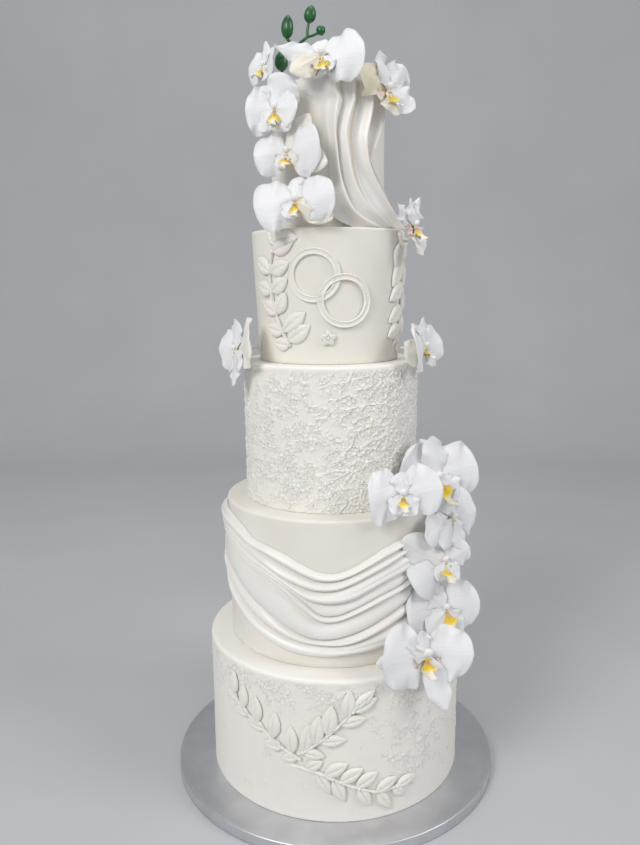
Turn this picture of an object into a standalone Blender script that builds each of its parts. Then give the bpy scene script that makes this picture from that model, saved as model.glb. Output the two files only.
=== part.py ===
"""A five-tier wedding cake on a round foil-covered drum, dressed with two draped
swags of sugar paste, laurel sprays and interlocked rings in low relief, and
cascades of sugar moth orchids with green buds.

Metres, +Z up. The origin is the centre of the drum's underside, and the cake's
front faces -Y. Every tier is round, on an upright axis of its own: the tiers were
set down by hand, so each stands a few millimetres off the one below.
Angles round the cake are in degrees from the front, positive towards +X.
"""

import math
import random

import bmesh
import bpy
from mathutils import Matrix, Vector

# Driving dimensions: a 14 inch drum board, and round tiers of 10, 8, 7, 5 and 4
# inch tins with about 10 mm of filling coat and sugar paste all round.
INCH = 0.0254
BOARD_RADIUS = 7 * INCH
BOARD_HEIGHT = 0.012
BOARD_EDGE = 0.0015
BOARD_SEGMENTS = 60
GAP = 0.0003

# name: (foot radius, rim radius, height, rim rounding, segments round the tier)
TIERS = {
    "tier_1": (0.1370, 0.1370, 0.1502, 0.0035, 56),
    "tier_2": (0.1120, 0.1135, 0.1506, 0.0030, 52),
    "tier_3": (0.0909, 0.0917, 0.1440, 0.0030, 48),
    "tier_4": (0.0723, 0.0785, 0.1293, 0.0025, 44),
    "tier_5": (0.0570, 0.0570, 0.1364, 0.0030, 40),
}
# Where each tier's axis stands on the drum
AXES = {
    "tier_1": Vector((0.0, -0.005, 0.0)),
    "tier_2": Vector((-0.0015, -0.005, 0.0)),
    "tier_3": Vector((-0.0030, -0.005, 0.0)),
    "tier_4": Vector((-0.0045, -0.005, 0.0)),
    "tier_5": Vector((-0.0045, -0.005, 0.0)),
}
# Depth of the rough royal-icing stucco: (at the most, rows of bumps, seed)
STUCCO = {"tier_1": (0.0012, 2, 11), "tier_3": (0.0018, 5, 5)}

# Thickness of the relief pieces, and how far their backs stand off a tier
RELIEF_BACK = 0.0006
RELIEF_STEP = 0.0003
LEAF_CREST = 0.0030
LEAF_SHARES = ((0.0, 0.14), (0.3, 0.92), (0.68, 0.86))
STEM_CREST = 0.0026
STEM_HALF_WIDTH = 0.0014
STEM_STEPS = 2

FONDANT = (0.87, 0.85, 0.80, 1.0)
PASTE = (0.90, 0.89, 0.87, 1.0)
PETAL = (0.92, 0.92, 0.95, 1.0)
BUD_GREEN = (0.02, 0.14, 0.04, 1.0)
FOIL = (0.66, 0.67, 0.70, 1.0)


def make_material(name, colour, roughness, metallic=0.0):
    material = bpy.data.materials.new(name)
    material.use_nodes = True
    shader = material.node_tree.nodes["Principled BSDF"]
    shader.inputs["Base Color"].default_value = colour
    shader.inputs["Roughness"].default_value = roughness
    shader.inputs["Metallic"].default_value = metallic
    return material


def make_object(name, points, faces, material=None, smooth_angle=40.0):
    """A mesh object with every face turned outwards."""
    mesh = bpy.data.meshes.new(name)
    mesh.from_pydata([tuple(point) for point in points], [], faces)
    shape = bmesh.new()
    shape.from_mesh(mesh)
    bmesh.ops.triangulate(shape, faces=shape.faces)
    bmesh.ops.recalc_face_normals(shape, faces=shape.faces)
    if shape.calc_volume(signed=True) < 0:
        bmesh.ops.reverse_faces(shape, faces=shape.faces)
    shape.to_mesh(mesh)
    shape.free()
    mesh.shade_smooth()
    mesh.set_sharp_from_angle(angle=math.radians(smooth_angle))
    obj = bpy.data.objects.new(name, mesh)
    bpy.context.scene.collection.objects.link(obj)
    if material:
        mesh.materials.append(material)
    return obj


# A union can leave loose slivers beside the body, each of fewer faces than this
SLIVER_FACES = 12


def drop_slivers(mesh):
    shape = bmesh.new()
    shape.from_mesh(mesh)
    unseen = set(shape.faces)
    loose = []
    while unseen:
        queue = [unseen.pop()]
        island = list(queue)
        while queue:
            for edge in queue.pop().edges:
                for face in edge.link_faces:
                    if face in unseen:
                        unseen.remove(face)
                        island.append(face)
                        queue.append(face)
        if len(island) < SLIVER_FACES:
            loose += island
    bmesh.ops.delete(shape, geom=loose, context="FACES")
    shape.to_mesh(mesh)
    shape.free()


def fuse(name, pieces, material):
    """One closed body from overlapping pieces, named name."""
    others = bpy.data.collections.new(name + "_pieces")
    bpy.context.scene.collection.children.link(others)
    base = pieces[0]
    for piece in pieces[1:]:
        bpy.context.scene.collection.objects.unlink(piece)
        others.objects.link(piece)
    union = base.modifiers.new("Union", "BOOLEAN")
    union.operation = "UNION"
    union.operand_type = "COLLECTION"
    union.collection = others
    union.solver = "EXACT"
    bpy.context.view_layer.update()
    graph = bpy.context.evaluated_depsgraph_get()
    mesh = bpy.data.meshes.new_from_object(base.evaluated_get(graph))
    for piece in list(pieces):
        bpy.data.objects.remove(piece, do_unlink=True)
    bpy.data.collections.remove(others)
    drop_slivers(mesh)
    mesh.name = name
    mesh.materials.clear()
    mesh.materials.append(material)
    mesh.shade_smooth()
    mesh.set_sharp_from_angle(angle=math.radians(35))
    obj = bpy.data.objects.new(name, mesh)
    bpy.context.scene.collection.objects.link(obj)
    return obj


def around(tier, angle, radius, height):
    """A point at an angle round a tier, a radius from its axis and a height."""
    turn = math.radians(angle)
    return AXES[tier] + Vector((radius * math.sin(turn), -radius * math.cos(turn), height))


def foot_of(tier):
    """Height of a tier's underside, a gap above what carries it."""
    height = BOARD_HEIGHT + GAP
    for name, (_, _, tall, _, _) in TIERS.items():
        if name == tier:
            return height
        height += tall + GAP
    raise KeyError(tier)


def top_of(tier):
    return foot_of(tier) + TIERS[tier][2]


def wall_of(tier, height):
    """Radius of a tier's plain side at a height."""
    foot, rim, tall, _, _ = TIERS[tier]
    share = min(max((height - foot_of(tier)) / tall, 0.0), 1.0)
    return foot + (rim - foot) * share


def on_side(tier, angle, height, off):
    """A point that stands off a tier's side, at an angle and a height."""
    return around(tier, angle, wall_of(tier, height) + off, height)


def turned(name, axis, rings, segments, material, smooth_angle=40.0):
    """A solid turned about an upright axis; rings are (radius, height) or, for a
    wavy ring, (function of the angle, height), from the bottom up."""
    points = []
    for radius, height in rings:
        for i in range(segments):
            angle = 360 * i / segments
            reach = radius(angle) if callable(radius) else radius
            turn = math.radians(angle)
            points.append(axis + Vector((reach * math.sin(turn), -reach * math.cos(turn), height)))
    faces = []
    for row in range(len(rings) - 1):
        for i in range(segments):
            j = (i + 1) % segments
            low, high = row * segments, (row + 1) * segments
            faces.append((low + i, low + j, high + j, high + i))
    faces.append(tuple(range(segments)))
    faces.append(tuple(range(len(rings) * segments - segments, len(rings) * segments)))
    return make_object(name, points, faces, material, smooth_angle)


def make_board(material):
    rings = [
        (BOARD_RADIUS, 0.0),
        (BOARD_RADIUS, BOARD_HEIGHT - BOARD_EDGE),
        (BOARD_RADIUS - BOARD_EDGE, BOARD_HEIGHT),
    ]
    return turned("board", Vector(), rings, BOARD_SEGMENTS, material)


def stucco_bumps(tier):
    """A function of angle and row that gives the depth of the rough coat."""
    deepest, rows, seed = STUCCO[tier]
    draw = random.Random(seed)
    waves = [
        (draw.randint(9, 31), draw.uniform(0.5, 2.4), draw.uniform(0, 6.28)) for _ in range(7)
    ]

    def depth(angle, row):
        total = sum(
            math.sin(math.radians(angle) * turns + row * slant + phase)
            for turns, slant, phase in waves
        )
        return deepest * (0.5 + 0.5 * math.tanh(0.7 * total))

    return depth, rows


def make_tier(tier, material):
    foot, rim, tall, rounding, segments = TIERS[tier]
    bottom = foot_of(tier)
    rings = [(foot, bottom)]
    if tier in STUCCO:
        depth, rows = stucco_bumps(tier)
        for row in range(1, rows + 1):
            height = bottom + (tall - rounding) * row / (rows + 0.6)

            def wavy(angle, row=row, height=height):
                return wall_of(tier, height) - depth(angle, row)

            rings.append((wavy, height))
    for step in (0, 45, 90):
        turn = math.radians(step)
        rings.append(
            (
                rim - rounding + rounding * math.cos(turn),
                bottom + tall - rounding + rounding * math.sin(turn),
            )
        )
    return turned(tier, AXES[tier], rings, segments, material)


def smooth_path(stations, count):
    """Points of a Catmull-Rom curve through stations, count steps to a span."""
    spots = [Vector(station) for station in stations]
    spots = [2 * spots[0] - spots[1], *spots, 2 * spots[-1] - spots[-2]]
    path = []
    for a, b, c, d in zip(spots, spots[1:], spots[2:], spots[3:]):
        for step in range(count):
            t = step / count
            path.append(
                0.5
                * (
                    2 * b
                    + (c - a) * t
                    + (2 * a - 5 * b + 4 * c - d) * t * t
                    + (3 * b - a - 3 * c + d) * t**3
                )
            )
    path.append(spots[-2])
    return path


def cloth(name, front, back, material):
    """A closed sheet between two grids of points of the same size. The back is
    left coarse: it lies against the cake."""
    rows, columns = len(front), len(front[0])
    points = [point for row in front for point in row] + [point for row in back for point in row]
    behind = rows * columns
    faces = []
    for r in range(rows - 1):
        for c in range(columns - 1):
            a = r * columns + c
            faces.append((a, a + 1, a + columns + 1, a + columns))
            faces.append(tuple(behind + k for k in (a, a + columns, a + columns + 1, a + 1)))
    rim = [(0, c) for c in range(columns)]
    rim += [(r, columns - 1) for r in range(1, rows)]
    rim += [(rows - 1, c) for c in range(columns - 2, -1, -1)]
    rim += [(r, 0) for r in range(rows - 2, 0, -1)]
    ring = [r * columns + c for r, c in rim]
    for a, b in zip(ring, ring[1:] + ring[:1]):
        faces.append((a, b, behind + b, behind + a))
    return make_object(name, points, faces, material, 60)


# Swag on the second tier: folds hang from a gather at the left to one at the right
SWAG_LEFT, SWAG_RIGHT = -96.0, 38.0
SWAG_STATIONS = 16
SWAG_LOW = -4.0
SWAG_TOP_HEIGHT, SWAG_BOTTOM_HEIGHT = 0.2575, 0.1755
SWAG_TOP_RISE = (0.000100, 0.000157)
SWAG_BOTTOM_RISE = 0.0000098
# Share of the swag's width at which each fold starts, from the bottom edge up
SWAG_FOLDS = (0.0, 0.13, 0.21, 0.34, 0.50, 0.62, 0.76, 0.88, 1.0)
SWAG_CREST, SWAG_VALLEY = 0.0078, 0.0012


def swag_top(angle):
    side = SWAG_TOP_RISE[angle > SWAG_LOW]
    return SWAG_TOP_HEIGHT + side * abs(angle - SWAG_LOW) ** 1.5


def swag_bottom(angle):
    return SWAG_BOTTOM_HEIGHT + SWAG_BOTTOM_RISE * (angle - SWAG_LOW) ** 2


def make_swag(material):
    front, back = [], []
    for i in range(SWAG_STATIONS + 1):
        share = i / SWAG_STATIONS
        angle = SWAG_LEFT + (SWAG_RIGHT - SWAG_LEFT) * share
        top = min(swag_top(angle), top_of("tier_2") - 0.0045)
        bottom = swag_bottom(angle)
        row = []
        for fold, start in enumerate(SWAG_FOLDS):
            wander = 0.018 * math.sin(2.1 * fold + 7.0 * share) if 0 < start < 1 else 0.0
            height = bottom + (top - bottom) * (start + wander)
            row.append((height, SWAG_VALLEY))
            if fold + 1 < len(SWAG_FOLDS):
                crest = start + 0.42 * (SWAG_FOLDS[fold + 1] - start) + wander
                depth = SWAG_CREST * (0.75 + 0.25 * math.sin(1.7 * fold + 5.0 * share))
                row.append((bottom + (top - bottom) * crest, depth))
        front.append([on_side("tier_2", angle, z, RELIEF_BACK + d) for z, d in row])
        back.append([on_side("tier_2", angle, z, RELIEF_BACK) for z, _ in row])
    return cloth("swag", front, back, material)


# Drape over the top tier: it comes over the rim, falls and sweeps to the right.
# Each line: height below the rim, angle of the left and the right edge, stand-off
# from the wall at the left and the right edge.
DRAPE_FALL = (
    (0.0000, -30.0, 62.0, 0.000, 0.000),
    (0.0080, -30.0, 64.0, 0.000, 0.000),
    (0.0180, -22.0, 65.0, 0.000, 0.000),
    (0.0400, -16.0, 62.0, 0.000, 0.000),
    (0.0600, -14.0, 50.0, 0.000, 0.000),
    (0.0780, -13.0, 44.0, 0.000, 0.000),
    (0.0980, -11.0, 50.0, 0.000, 0.002),
    (0.1160, -9.0, 62.0, 0.000, 0.006),
    (0.1280, -6.0, 74.0, 0.003, 0.011),
    (0.1357, -2.0, 84.0, 0.006, 0.014),
)
DRAPE_INWARD = (0.026, 0.014, 0.005)
DRAPE_FOLDS = 4
DRAPE_CREST, DRAPE_VALLEY = 0.0066, 0.0012


def make_drape(material):
    top = top_of("tier_5")
    wall = TIERS["tier_5"][1]
    steps = DRAPE_FOLDS * 3
    folds = [math.sin(math.pi * (i % 3) / 3) ** 0.8 for i in range(steps + 1)]
    depths = [DRAPE_VALLEY + (DRAPE_CREST - DRAPE_VALLEY) * fold for fold in folds]
    _, left, right, _, _ = DRAPE_FALL[0]
    front, back = [], []
    for inward in DRAPE_INWARD:
        angles = [left + (right - left) * i / steps for i in range(steps + 1)]
        lifts = [RELIEF_BACK + 0.5 * depth for depth in depths]
        front.append([around("tier_5", a, wall - inward, top + z) for a, z in zip(angles, lifts)])
        back.append([around("tier_5", a, wall - inward, top + RELIEF_BACK) for a in angles])
    for below, left, right, off_left, off_right in DRAPE_FALL:
        row, base = [], []
        for i, depth in enumerate(depths):
            angle = left + (right - left) * i / steps
            radius = wall + RELIEF_BACK + off_left + (off_right - off_left) * i / steps
            height = top - below
            if below == 0:
                base.append(around("tier_5", angle, radius, height + RELIEF_BACK))
                height += RELIEF_BACK + 0.5 * depth
            else:
                base.append(around("tier_5", angle, radius, height))
            row.append(around("tier_5", angle, radius + depth, height))
        front.append(row)
        back.append(base)
    return cloth("drape", front, back, material)


def on_wall(tier, along, height, off):
    """A point off a tier's side, from the distance along it and the height."""
    return on_side(tier, math.degrees(along / wall_of(tier, height)), height, off)


def relief_leaf(tier, base, tip, width, crest, back):
    """A leaf in low relief: a lens outline with a raised midrib, between a base
    and a tip given as (distance along the side, height)."""
    base, tip = Vector(base), Vector(tip)
    run = tip - base
    side = Vector((-run.y, run.x)).normalized()
    left, right, rib, under = [], [], [], []
    for share, spread in LEAF_SHARES:
        middle = base + run * share
        off = side * width / 2 * spread
        left.append(on_wall(tier, *(middle + off), back + 0.0005))
        right.append(on_wall(tier, *(middle - off), back + 0.0005))
        rib.append(on_wall(tier, *middle, back + crest * (0.7 + 0.3 * spread)))
        under.append(on_wall(tier, *middle, back))
    count = len(LEAF_SHARES)
    points = left + right + rib + under + [on_wall(tier, *tip, back + 0.0005)]
    end = len(points) - 1
    faces = []
    for k in range(count - 1):
        for edge in (0, count):
            a, b = edge + k, edge + k + 1
            faces.append((a, b, 2 * count + k + 1, 2 * count + k))
            faces.append((b, a, 3 * count + k, 3 * count + k + 1))
    last = count - 1
    for edge in (0, count):
        faces.append((edge + last, end, 2 * count + last))
        faces.append((end, edge + last, 3 * count + last))
    faces.append((0, 2 * count, count, 3 * count))
    return make_object("leaf", points, faces)


def relief_stem(tier, path, back):
    """A thin ridge that follows a path of (distance along the side, height)."""
    points, faces = [], []
    for k, spot in enumerate(path):
        ahead = path[min(k + 1, len(path) - 1)] - path[max(k - 1, 0)]
        side = Vector((-ahead.y, ahead.x)).normalized() * STEM_HALF_WIDTH
        points.append(on_wall(tier, *(spot + side), back))
        points.append(on_wall(tier, *spot, back + STEM_CREST))
        points.append(on_wall(tier, *(spot - side), back))
    for k in range(len(path) - 1):
        for a, b in ((0, 1), (1, 2), (2, 0)):
            faces.append((3 * k + a, 3 * k + b, 3 * k + 3 + b, 3 * k + 3 + a))
    faces.append((0, 1, 2))
    faces.append(tuple(3 * (len(path) - 1) + k for k in (0, 1, 2)))
    return make_object("stem", points, faces)


# Laurel sprays: the tier, the stem's stations as (angle, height) from its foot to
# its end, then the leaves as (share along the stem, side, length, turn off the
# stem in degrees, width). Side is +1 for the stem's left looking along it.
SPRAYS = {
    "spray_low_left": (
        "tier_1",
        ((-15.5, 0.079), (-25.1, 0.0903), (-34.0, 0.1045), (-43.3, 0.1148), (-50.4, 0.1287)),
        (
            (0.10, -1, 0.027, 62, 0.0134),
            (0.33, -1, 0.027, 62, 0.0134),
            (0.54, -1, 0.026, 62, 0.0128),
            (0.75, -1, 0.025, 58, 0.0115),
            (0.94, -1, 0.024, 46, 0.0109),
            (0.20, 1, 0.021, 26, 0.0122),
            (0.44, 1, 0.021, 22, 0.0115),
            (0.66, 1, 0.021, 22, 0.0109),
            (0.87, 1, 0.016, 24, 0.0096),
        ),
    ),
    "spray_low_right": (
        "tier_1",
        ((-16.5, 0.0850), (-13.0, 0.0896), (-5.2, 0.1051), (2.4, 0.1230), (6.5, 0.1340)),
        (
            (0.20, 1, 0.028, 48, 0.0134),
            (0.36, 1, 0.030, 42, 0.0141),
            (0.52, 1, 0.030, 40, 0.0147),
            (0.80, 1, 0.026, 38, 0.0128),
            (0.98, 1, 0.025, -6, 0.0115),
            (0.93, -1, 0.025, 22, 0.0122),
            (0.68, -1, 0.024, 34, 0.0122),
            (0.42, -1, 0.024, 34, 0.0122),
            (0.16, -1, 0.020, 36, 0.0115),
        ),
    ),
    "spray_low_sweep": (
        "tier_1",
        (
            (-19.5, 0.0725),
            (-9.0, 0.0672),
            (-0.5, 0.0583),
            (8.1, 0.0494),
            (17.0, 0.0420),
            (24.8, 0.0440),
        ),
        (
            (0.11, 1, 0.018, 40, 0.0115),
            (0.27, 1, 0.024, 52, 0.0134),
            (0.42, 1, 0.024, 54, 0.0134),
            (0.57, 1, 0.024, 54, 0.0134),
            (0.76, 1, 0.023, 42, 0.0122),
            (0.99, 1, 0.021, 6, 0.0109),
            (0.20, -1, 0.025, 42, 0.0122),
            (0.36, -1, 0.025, 42, 0.0128),
            (0.60, -1, 0.022, 40, 0.0122),
            (0.78, -1, 0.024, 48, 0.0115),
            (0.95, -1, 0.016, 52, 0.0102),
        ),
    ),
    "spray_upper_left": (
        "tier_4",
        (
            (-31.9, 0.4766),
            (-38.0, 0.4910),
            (-43.5, 0.5075),
            (-47.5, 0.5300),
            (-46.8, 0.5520),
            (-42.0, 0.5710),
            (-36.0, 0.5820),
        ),
        (
            (0.04, -1, 0.0265, 86, 0.0160),
            (0.15, -1, 0.0290, 80, 0.0160),
            (0.32, -1, 0.0230, 49, 0.0145),
            (0.48, -1, 0.0230, 66, 0.0150),
            (0.62, -1, 0.0240, 66, 0.0150),
            (0.78, -1, 0.0240, 50, 0.0145),
            (0.93, -1, 0.0200, 50, 0.0140),
            (0.00, 1, 0.0190, 56, 0.0130),
            (0.14, 1, 0.0230, 48, 0.0140),
            (0.32, 1, 0.0240, 38, 0.0145),
            (0.48, 1, 0.0240, 62, 0.0150),
            (0.62, 1, 0.0260, 62, 0.0150),
            (0.84, 1, 0.0180, 48, 0.0130),
        ),
    ),
    "spray_upper_right": (
        "tier_4",
        (
            (58.0, 0.5830),
            (65.0, 0.5680),
            (71.0, 0.5450),
            (72.5, 0.5180),
            (70.0, 0.4970),
            (59.0, 0.4740),
        ),
        (
            (0.12, -1, 0.0280, 46, 0.0165),
            (0.30, -1, 0.0310, 56, 0.0170),
            (0.48, -1, 0.0310, 62, 0.0170),
            (0.66, -1, 0.0300, 56, 0.0165),
            (0.84, -1, 0.0240, 36, 0.0150),
            (0.16, 1, 0.0250, 40, 0.0150),
            (0.36, 1, 0.0250, 46, 0.0150),
            (0.55, 1, 0.0250, 50, 0.0150),
            (0.74, 1, 0.0230, 50, 0.0140),
        ),
    ),
}


def make_spray(name, material):
    tier, stations, leaves = SPRAYS[name]
    flat = [
        (math.radians(angle) * wall_of(tier, height), height) for angle, height in stations
    ]
    path = smooth_path(flat, STEM_STEPS)
    pieces = [relief_stem(tier, path, RELIEF_BACK + 2.5 * RELIEF_STEP)]
    for k, (share, side, length, turn, width) in enumerate(leaves):
        place = share * (len(path) - 1)
        left = min(int(place), len(path) - 2)
        base = path[left].lerp(path[left + 1], place - left)
        heading = (path[left + 1] - path[left]).normalized()
        heading = Matrix.Rotation(math.radians(side * turn), 2) @ heading
        back = RELIEF_BACK + RELIEF_STEP * (k % 3) * 0.7
        pieces.append(
            relief_leaf(tier, base, base + heading * length, width, LEAF_CREST, back)
        )
    return fuse(name, pieces, material)


# Two interlocked rings in low relief on the fourth tier, with a blossom between
RING_RADIUS, RING_HALF_WIDTH, RING_CREST = 0.0225, 0.0032, 0.0026
RING_CENTRES = ((-0.0155, 0.5430), (0.0135, 0.5190))
RING_SEGMENTS = 20
BLOSSOM_CENTRE = (-0.002, 0.4835)
BLOSSOM_RADIUS = 0.0080
BLOSSOM_NOTCH = 0.62
BLOSSOM_RIM, BLOSSOM_EYE = 0.0010, 0.0030


def relief_ring(tier, centre, back):
    points, faces = [], []
    for k in range(RING_SEGMENTS):
        turn = 2 * math.pi * k / RING_SEGMENTS
        for reach, off in (
            (RING_RADIUS - RING_HALF_WIDTH, 0.0004),
            (RING_RADIUS, RING_CREST),
            (RING_RADIUS + RING_HALF_WIDTH, 0.0004),
            (RING_RADIUS, 0.0),
        ):
            along = centre[0] + reach * math.cos(turn)
            height = centre[1] + reach * math.sin(turn)
            points.append(on_wall(tier, along, height, back + off))
    for k in range(RING_SEGMENTS):
        j = (k + 1) % RING_SEGMENTS
        for a in range(4):
            b = (a + 1) % 4
            faces.append((4 * k + a, 4 * k + b, 4 * j + b, 4 * j + a))
    return make_object("ring", points, faces)


def make_rings(material):
    pieces = [
        relief_ring("tier_4", centre, RELIEF_BACK + k * 2 * RELIEF_STEP)
        for k, centre in enumerate(RING_CENTRES)
    ]
    return fuse("rings", pieces, material)


def make_blossom(material):
    """A five-petalled blossom: a fan of ten rim points round a raised eye."""
    rim, under = [], []
    for k in range(10):
        turn = 2 * math.pi * k / 10
        reach = BLOSSOM_RADIUS * (1.0 if k % 2 == 0 else BLOSSOM_NOTCH)
        spot = (
            BLOSSOM_CENTRE[0] + reach * math.sin(turn),
            BLOSSOM_CENTRE[1] + reach * math.cos(turn),
        )
        rim.append(on_wall("tier_4", *spot, RELIEF_BACK + BLOSSOM_RIM))
        under.append(on_wall("tier_4", *spot, RELIEF_BACK))
    points = rim + under + [on_wall("tier_4", *BLOSSOM_CENTRE, RELIEF_BACK + BLOSSOM_EYE)]
    faces = [tuple(range(10, 20))]
    for k in range(10):
        j = (k + 1) % 10
        faces.append((k, j, 20))
        faces.append((k, j, 10 + j, 10 + k))
    return make_object("blossom", points, faces, material)


# Sugar moth orchids. Each: place of its heart (tier whose axis it is round, angle,
# radius, height), the way it faces (angle, elevation, roll clockwise), petal length,
# and what its stalk is stuck to: a tier's side at (angle, height), or its top at
# (angle, radius).
ORCHIDS = {
    "orchid_top": (("tier_5", -5, 0.071, 0.7370), (-4, 12, 0), 0.041, ("top", "tier_5", -7, 0.020)),
    "orchid_top_right": (("tier_5", 47, 0.075, 0.7130), (40, 6, 0), 0.036, ("side", "tier_5", 76, 0.712)),
    "orchid_top_left": (("tier_5", -62, 0.068, 0.7390), (-74, 12, 0), 0.024, ("top", "tier_5", -86, 0.046)),
    "orchid_left_1": (("tier_5", -36.5, 0.083, 0.6930), (-28, 6, 0), 0.031, ("side", "tier_5", -48, 0.690)),
    "orchid_left_2": (("tier_5", -29, 0.080, 0.6540), (-20, 8, 0), 0.032, ("side", "tier_5", -39, 0.655)),
    "orchid_left_3": (("tier_5", -21, 0.088, 0.6095), (-10, 8, 0), 0.039, ("side", "tier_5", -27, 0.615)),
    "orchid_right_1": (("tier_4", 58, 0.096, 0.5890), (50, 8, 0), 0.031, ("side", "tier_4", 82, 0.576)),
    "orchid_left_4": (("tier_4", -66, 0.101, 0.4700), (-62, 8, -8), 0.033, ("side", "tier_4", -74, 0.472)),
    "orchid_right_2": (("tier_4", 62, 0.1055, 0.4720), (56, 10, 0), 0.031, ("side", "tier_4", 70, 0.470)),
    "orchid_low_1": (("tier_2", 30.4, 0.125, 0.3375), (12, 8, 0), 0.038, ("side", "tier_3", 33, 0.338)),
    "orchid_low_2": (("tier_2", 59.6, 0.1184, 0.3405), (24, 8, -9), 0.046, ("side", "tier_3", 62, 0.343)),
    "orchid_low_3": (("tier_2", 60, 0.136, 0.3020), (44, 4, 0), 0.037, ("side", "tier_2", 66, 0.298)),
    "orchid_low_4": (("tier_2", 55.7, 0.133, 0.2594), (34, 8, 0), 0.036, ("side", "tier_2", 60, 0.258)),
    "orchid_low_5": (("tier_2", 55.9, 0.135, 0.2080), (30, 8, 0), 0.040, ("side", "tier_2", 60, 0.206)),
    "orchid_low_6": (("tier_2", 34.8, 0.151, 0.1828), (16, 8, 0), 0.048, ("side", "tier_2", 38, 0.186)),
}

# Shares of a tepal's length at which its outline is taken, with the share of its
# greatest half width there
PETAL_SHARES = ((0.04, 0.07), (0.18, 0.60), (0.45, 1.0), (0.75, 0.90), (0.94, 0.45))
SEPAL_SHARES = ((0.04, 0.14), (0.42, 1.0), (0.80, 0.68))
# Each tepal: direction clockwise from up, length, half width, forward tilt, start
# in front of the heart, cupping and outline; lengths are in petal lengths
TEPALS = {
    "left": (-80.0, 1.00, 0.60, 10.0, 0.02, 0.16, PETAL_SHARES),
    "right": (80.0, 1.00, 0.60, 10.0, 0.02, 0.16, PETAL_SHARES),
    "dorsal": (0.0, 0.95, 0.34, -2.0, -0.07, 0.12, SEPAL_SHARES),
    "low_left": (-142.0, 0.92, 0.33, -2.0, -0.07, 0.12, SEPAL_SHARES),
    "low_right": (142.0, 0.92, 0.33, -2.0, -0.07, 0.12, SEPAL_SHARES),
}
# Tepals that are folded or turned in one flower: direction, length and half width
# in petal lengths, forward tilt
TURNED = {
    ("orchid_top", "left"): (-80, 1.05, 0.24, 6),
    ("orchid_top", "right"): (88, 1.00, 0.57, 10),
    ("orchid_top", "dorsal"): (8, 0.50, 0.30, -40),
    ("orchid_top", "low_left"): (-128, 0.72, 0.34, -2),
    ("orchid_top", "low_right"): (134, 0.60, 0.28, -2),
    ("orchid_top_right", "left"): (-60, 1.15, 0.34, 0),
    ("orchid_top_right", "dorsal"): (-22, 1.00, 0.30, -2),
    ("orchid_top_right", "right"): (62, 0.80, 0.50, 10),
    ("orchid_top_right", "low_left"): (176, 0.60, 0.33, -2),
    ("orchid_top_right", "low_right"): (132, 0.85, 0.33, -2),
    ("orchid_left_1", "left"): (-90, 0.85, 0.62, 10),
    ("orchid_left_1", "right"): (18, 1.05, 0.52, 6),
    ("orchid_left_1", "dorsal"): (95, 0.75, 0.42, 20),
    ("orchid_left_2", "left"): (-88, 1.00, 0.58, 10),
    ("orchid_left_2", "right"): (84, 1.10, 0.66, 12),
    ("orchid_left_3", "left"): (-98, 1.00, 0.58, 10),
    ("orchid_left_3", "right"): (86, 1.00, 0.50, 10),
    ("orchid_left_3", "dorsal"): (0, 0.85, 0.34, -22),
    ("orchid_left_3", "low_left"): (-142, 0.70, 0.33, -2),
    ("orchid_left_3", "low_right"): (124, 0.98, 0.28, -2),
    ("orchid_right_1", "left"): (-52, 1.05, 0.26, 0),
    ("orchid_right_1", "right"): (20, 0.95, 0.36, 6),
    ("orchid_right_1", "dorsal"): (-15, 0.85, 0.30, -2),
    ("orchid_right_1", "low_left"): (172, 0.95, 0.30, -2),
    ("orchid_right_2", "left"): (-84, 0.90, 0.75, 10),
    ("orchid_right_2", "low_left"): (-104, 0.95, 0.45, -10),
    ("orchid_low_1", "left"): (-94, 0.95, 0.66, 10),
    ("orchid_low_1", "right"): (80, 1.05, 0.60, 10),
    ("orchid_low_1", "low_right"): (139, 0.90, 0.33, -3),
    ("orchid_low_2", "left"): (-40, 0.95, 0.50, -3),
    ("orchid_low_2", "right"): (74, 1.02, 0.58, 10),
    ("orchid_low_2", "low_left"): (-142, 0.60, 0.33, -2),
    ("orchid_low_2", "low_right"): (142, 0.60, 0.33, -2),
    ("orchid_low_3", "left"): (-111, 0.90, 0.45, 4),
    ("orchid_low_3", "right"): (84, 0.85, 0.62, 6),
    ("orchid_low_3", "dorsal"): (0, 0.50, 0.30, -20),
    ("orchid_low_3", "low_left"): (-150, 0.90, 0.36, -2),
    ("orchid_low_3", "low_right"): (165, 0.95, 0.33, -2),
    ("orchid_low_4", "left"): (-105, 1.25, 0.60, 14),
    ("orchid_low_4", "right"): (76, 0.90, 0.50, 10),
    ("orchid_low_4", "dorsal"): (-60, 1.45, 0.40, 8),
    ("orchid_low_5", "left"): (-108, 1.15, 0.56, 12),
    ("orchid_low_5", "right"): (85, 0.95, 0.60, 8),
    ("orchid_low_5", "dorsal"): (-60, 0.80, 0.30, -4),
    ("orchid_low_6", "left"): (-90, 1.00, 0.60, 8),
    ("orchid_low_6", "right"): (97, 1.00, 0.52, 8),
    ("orchid_low_6", "dorsal"): (-15, 0.60, 0.22, -2),
    ("orchid_low_6", "low_left"): (-94, 1.05, 0.26, -6),
    ("orchid_low_6", "low_right"): (163, 1.20, 0.28, -2),
}
TEPAL_THICKNESS = 0.0016
LIP = (180.0, 0.44, 0.24, 50.0, 0.06, 0.55, SEPAL_SHARES)


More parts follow.
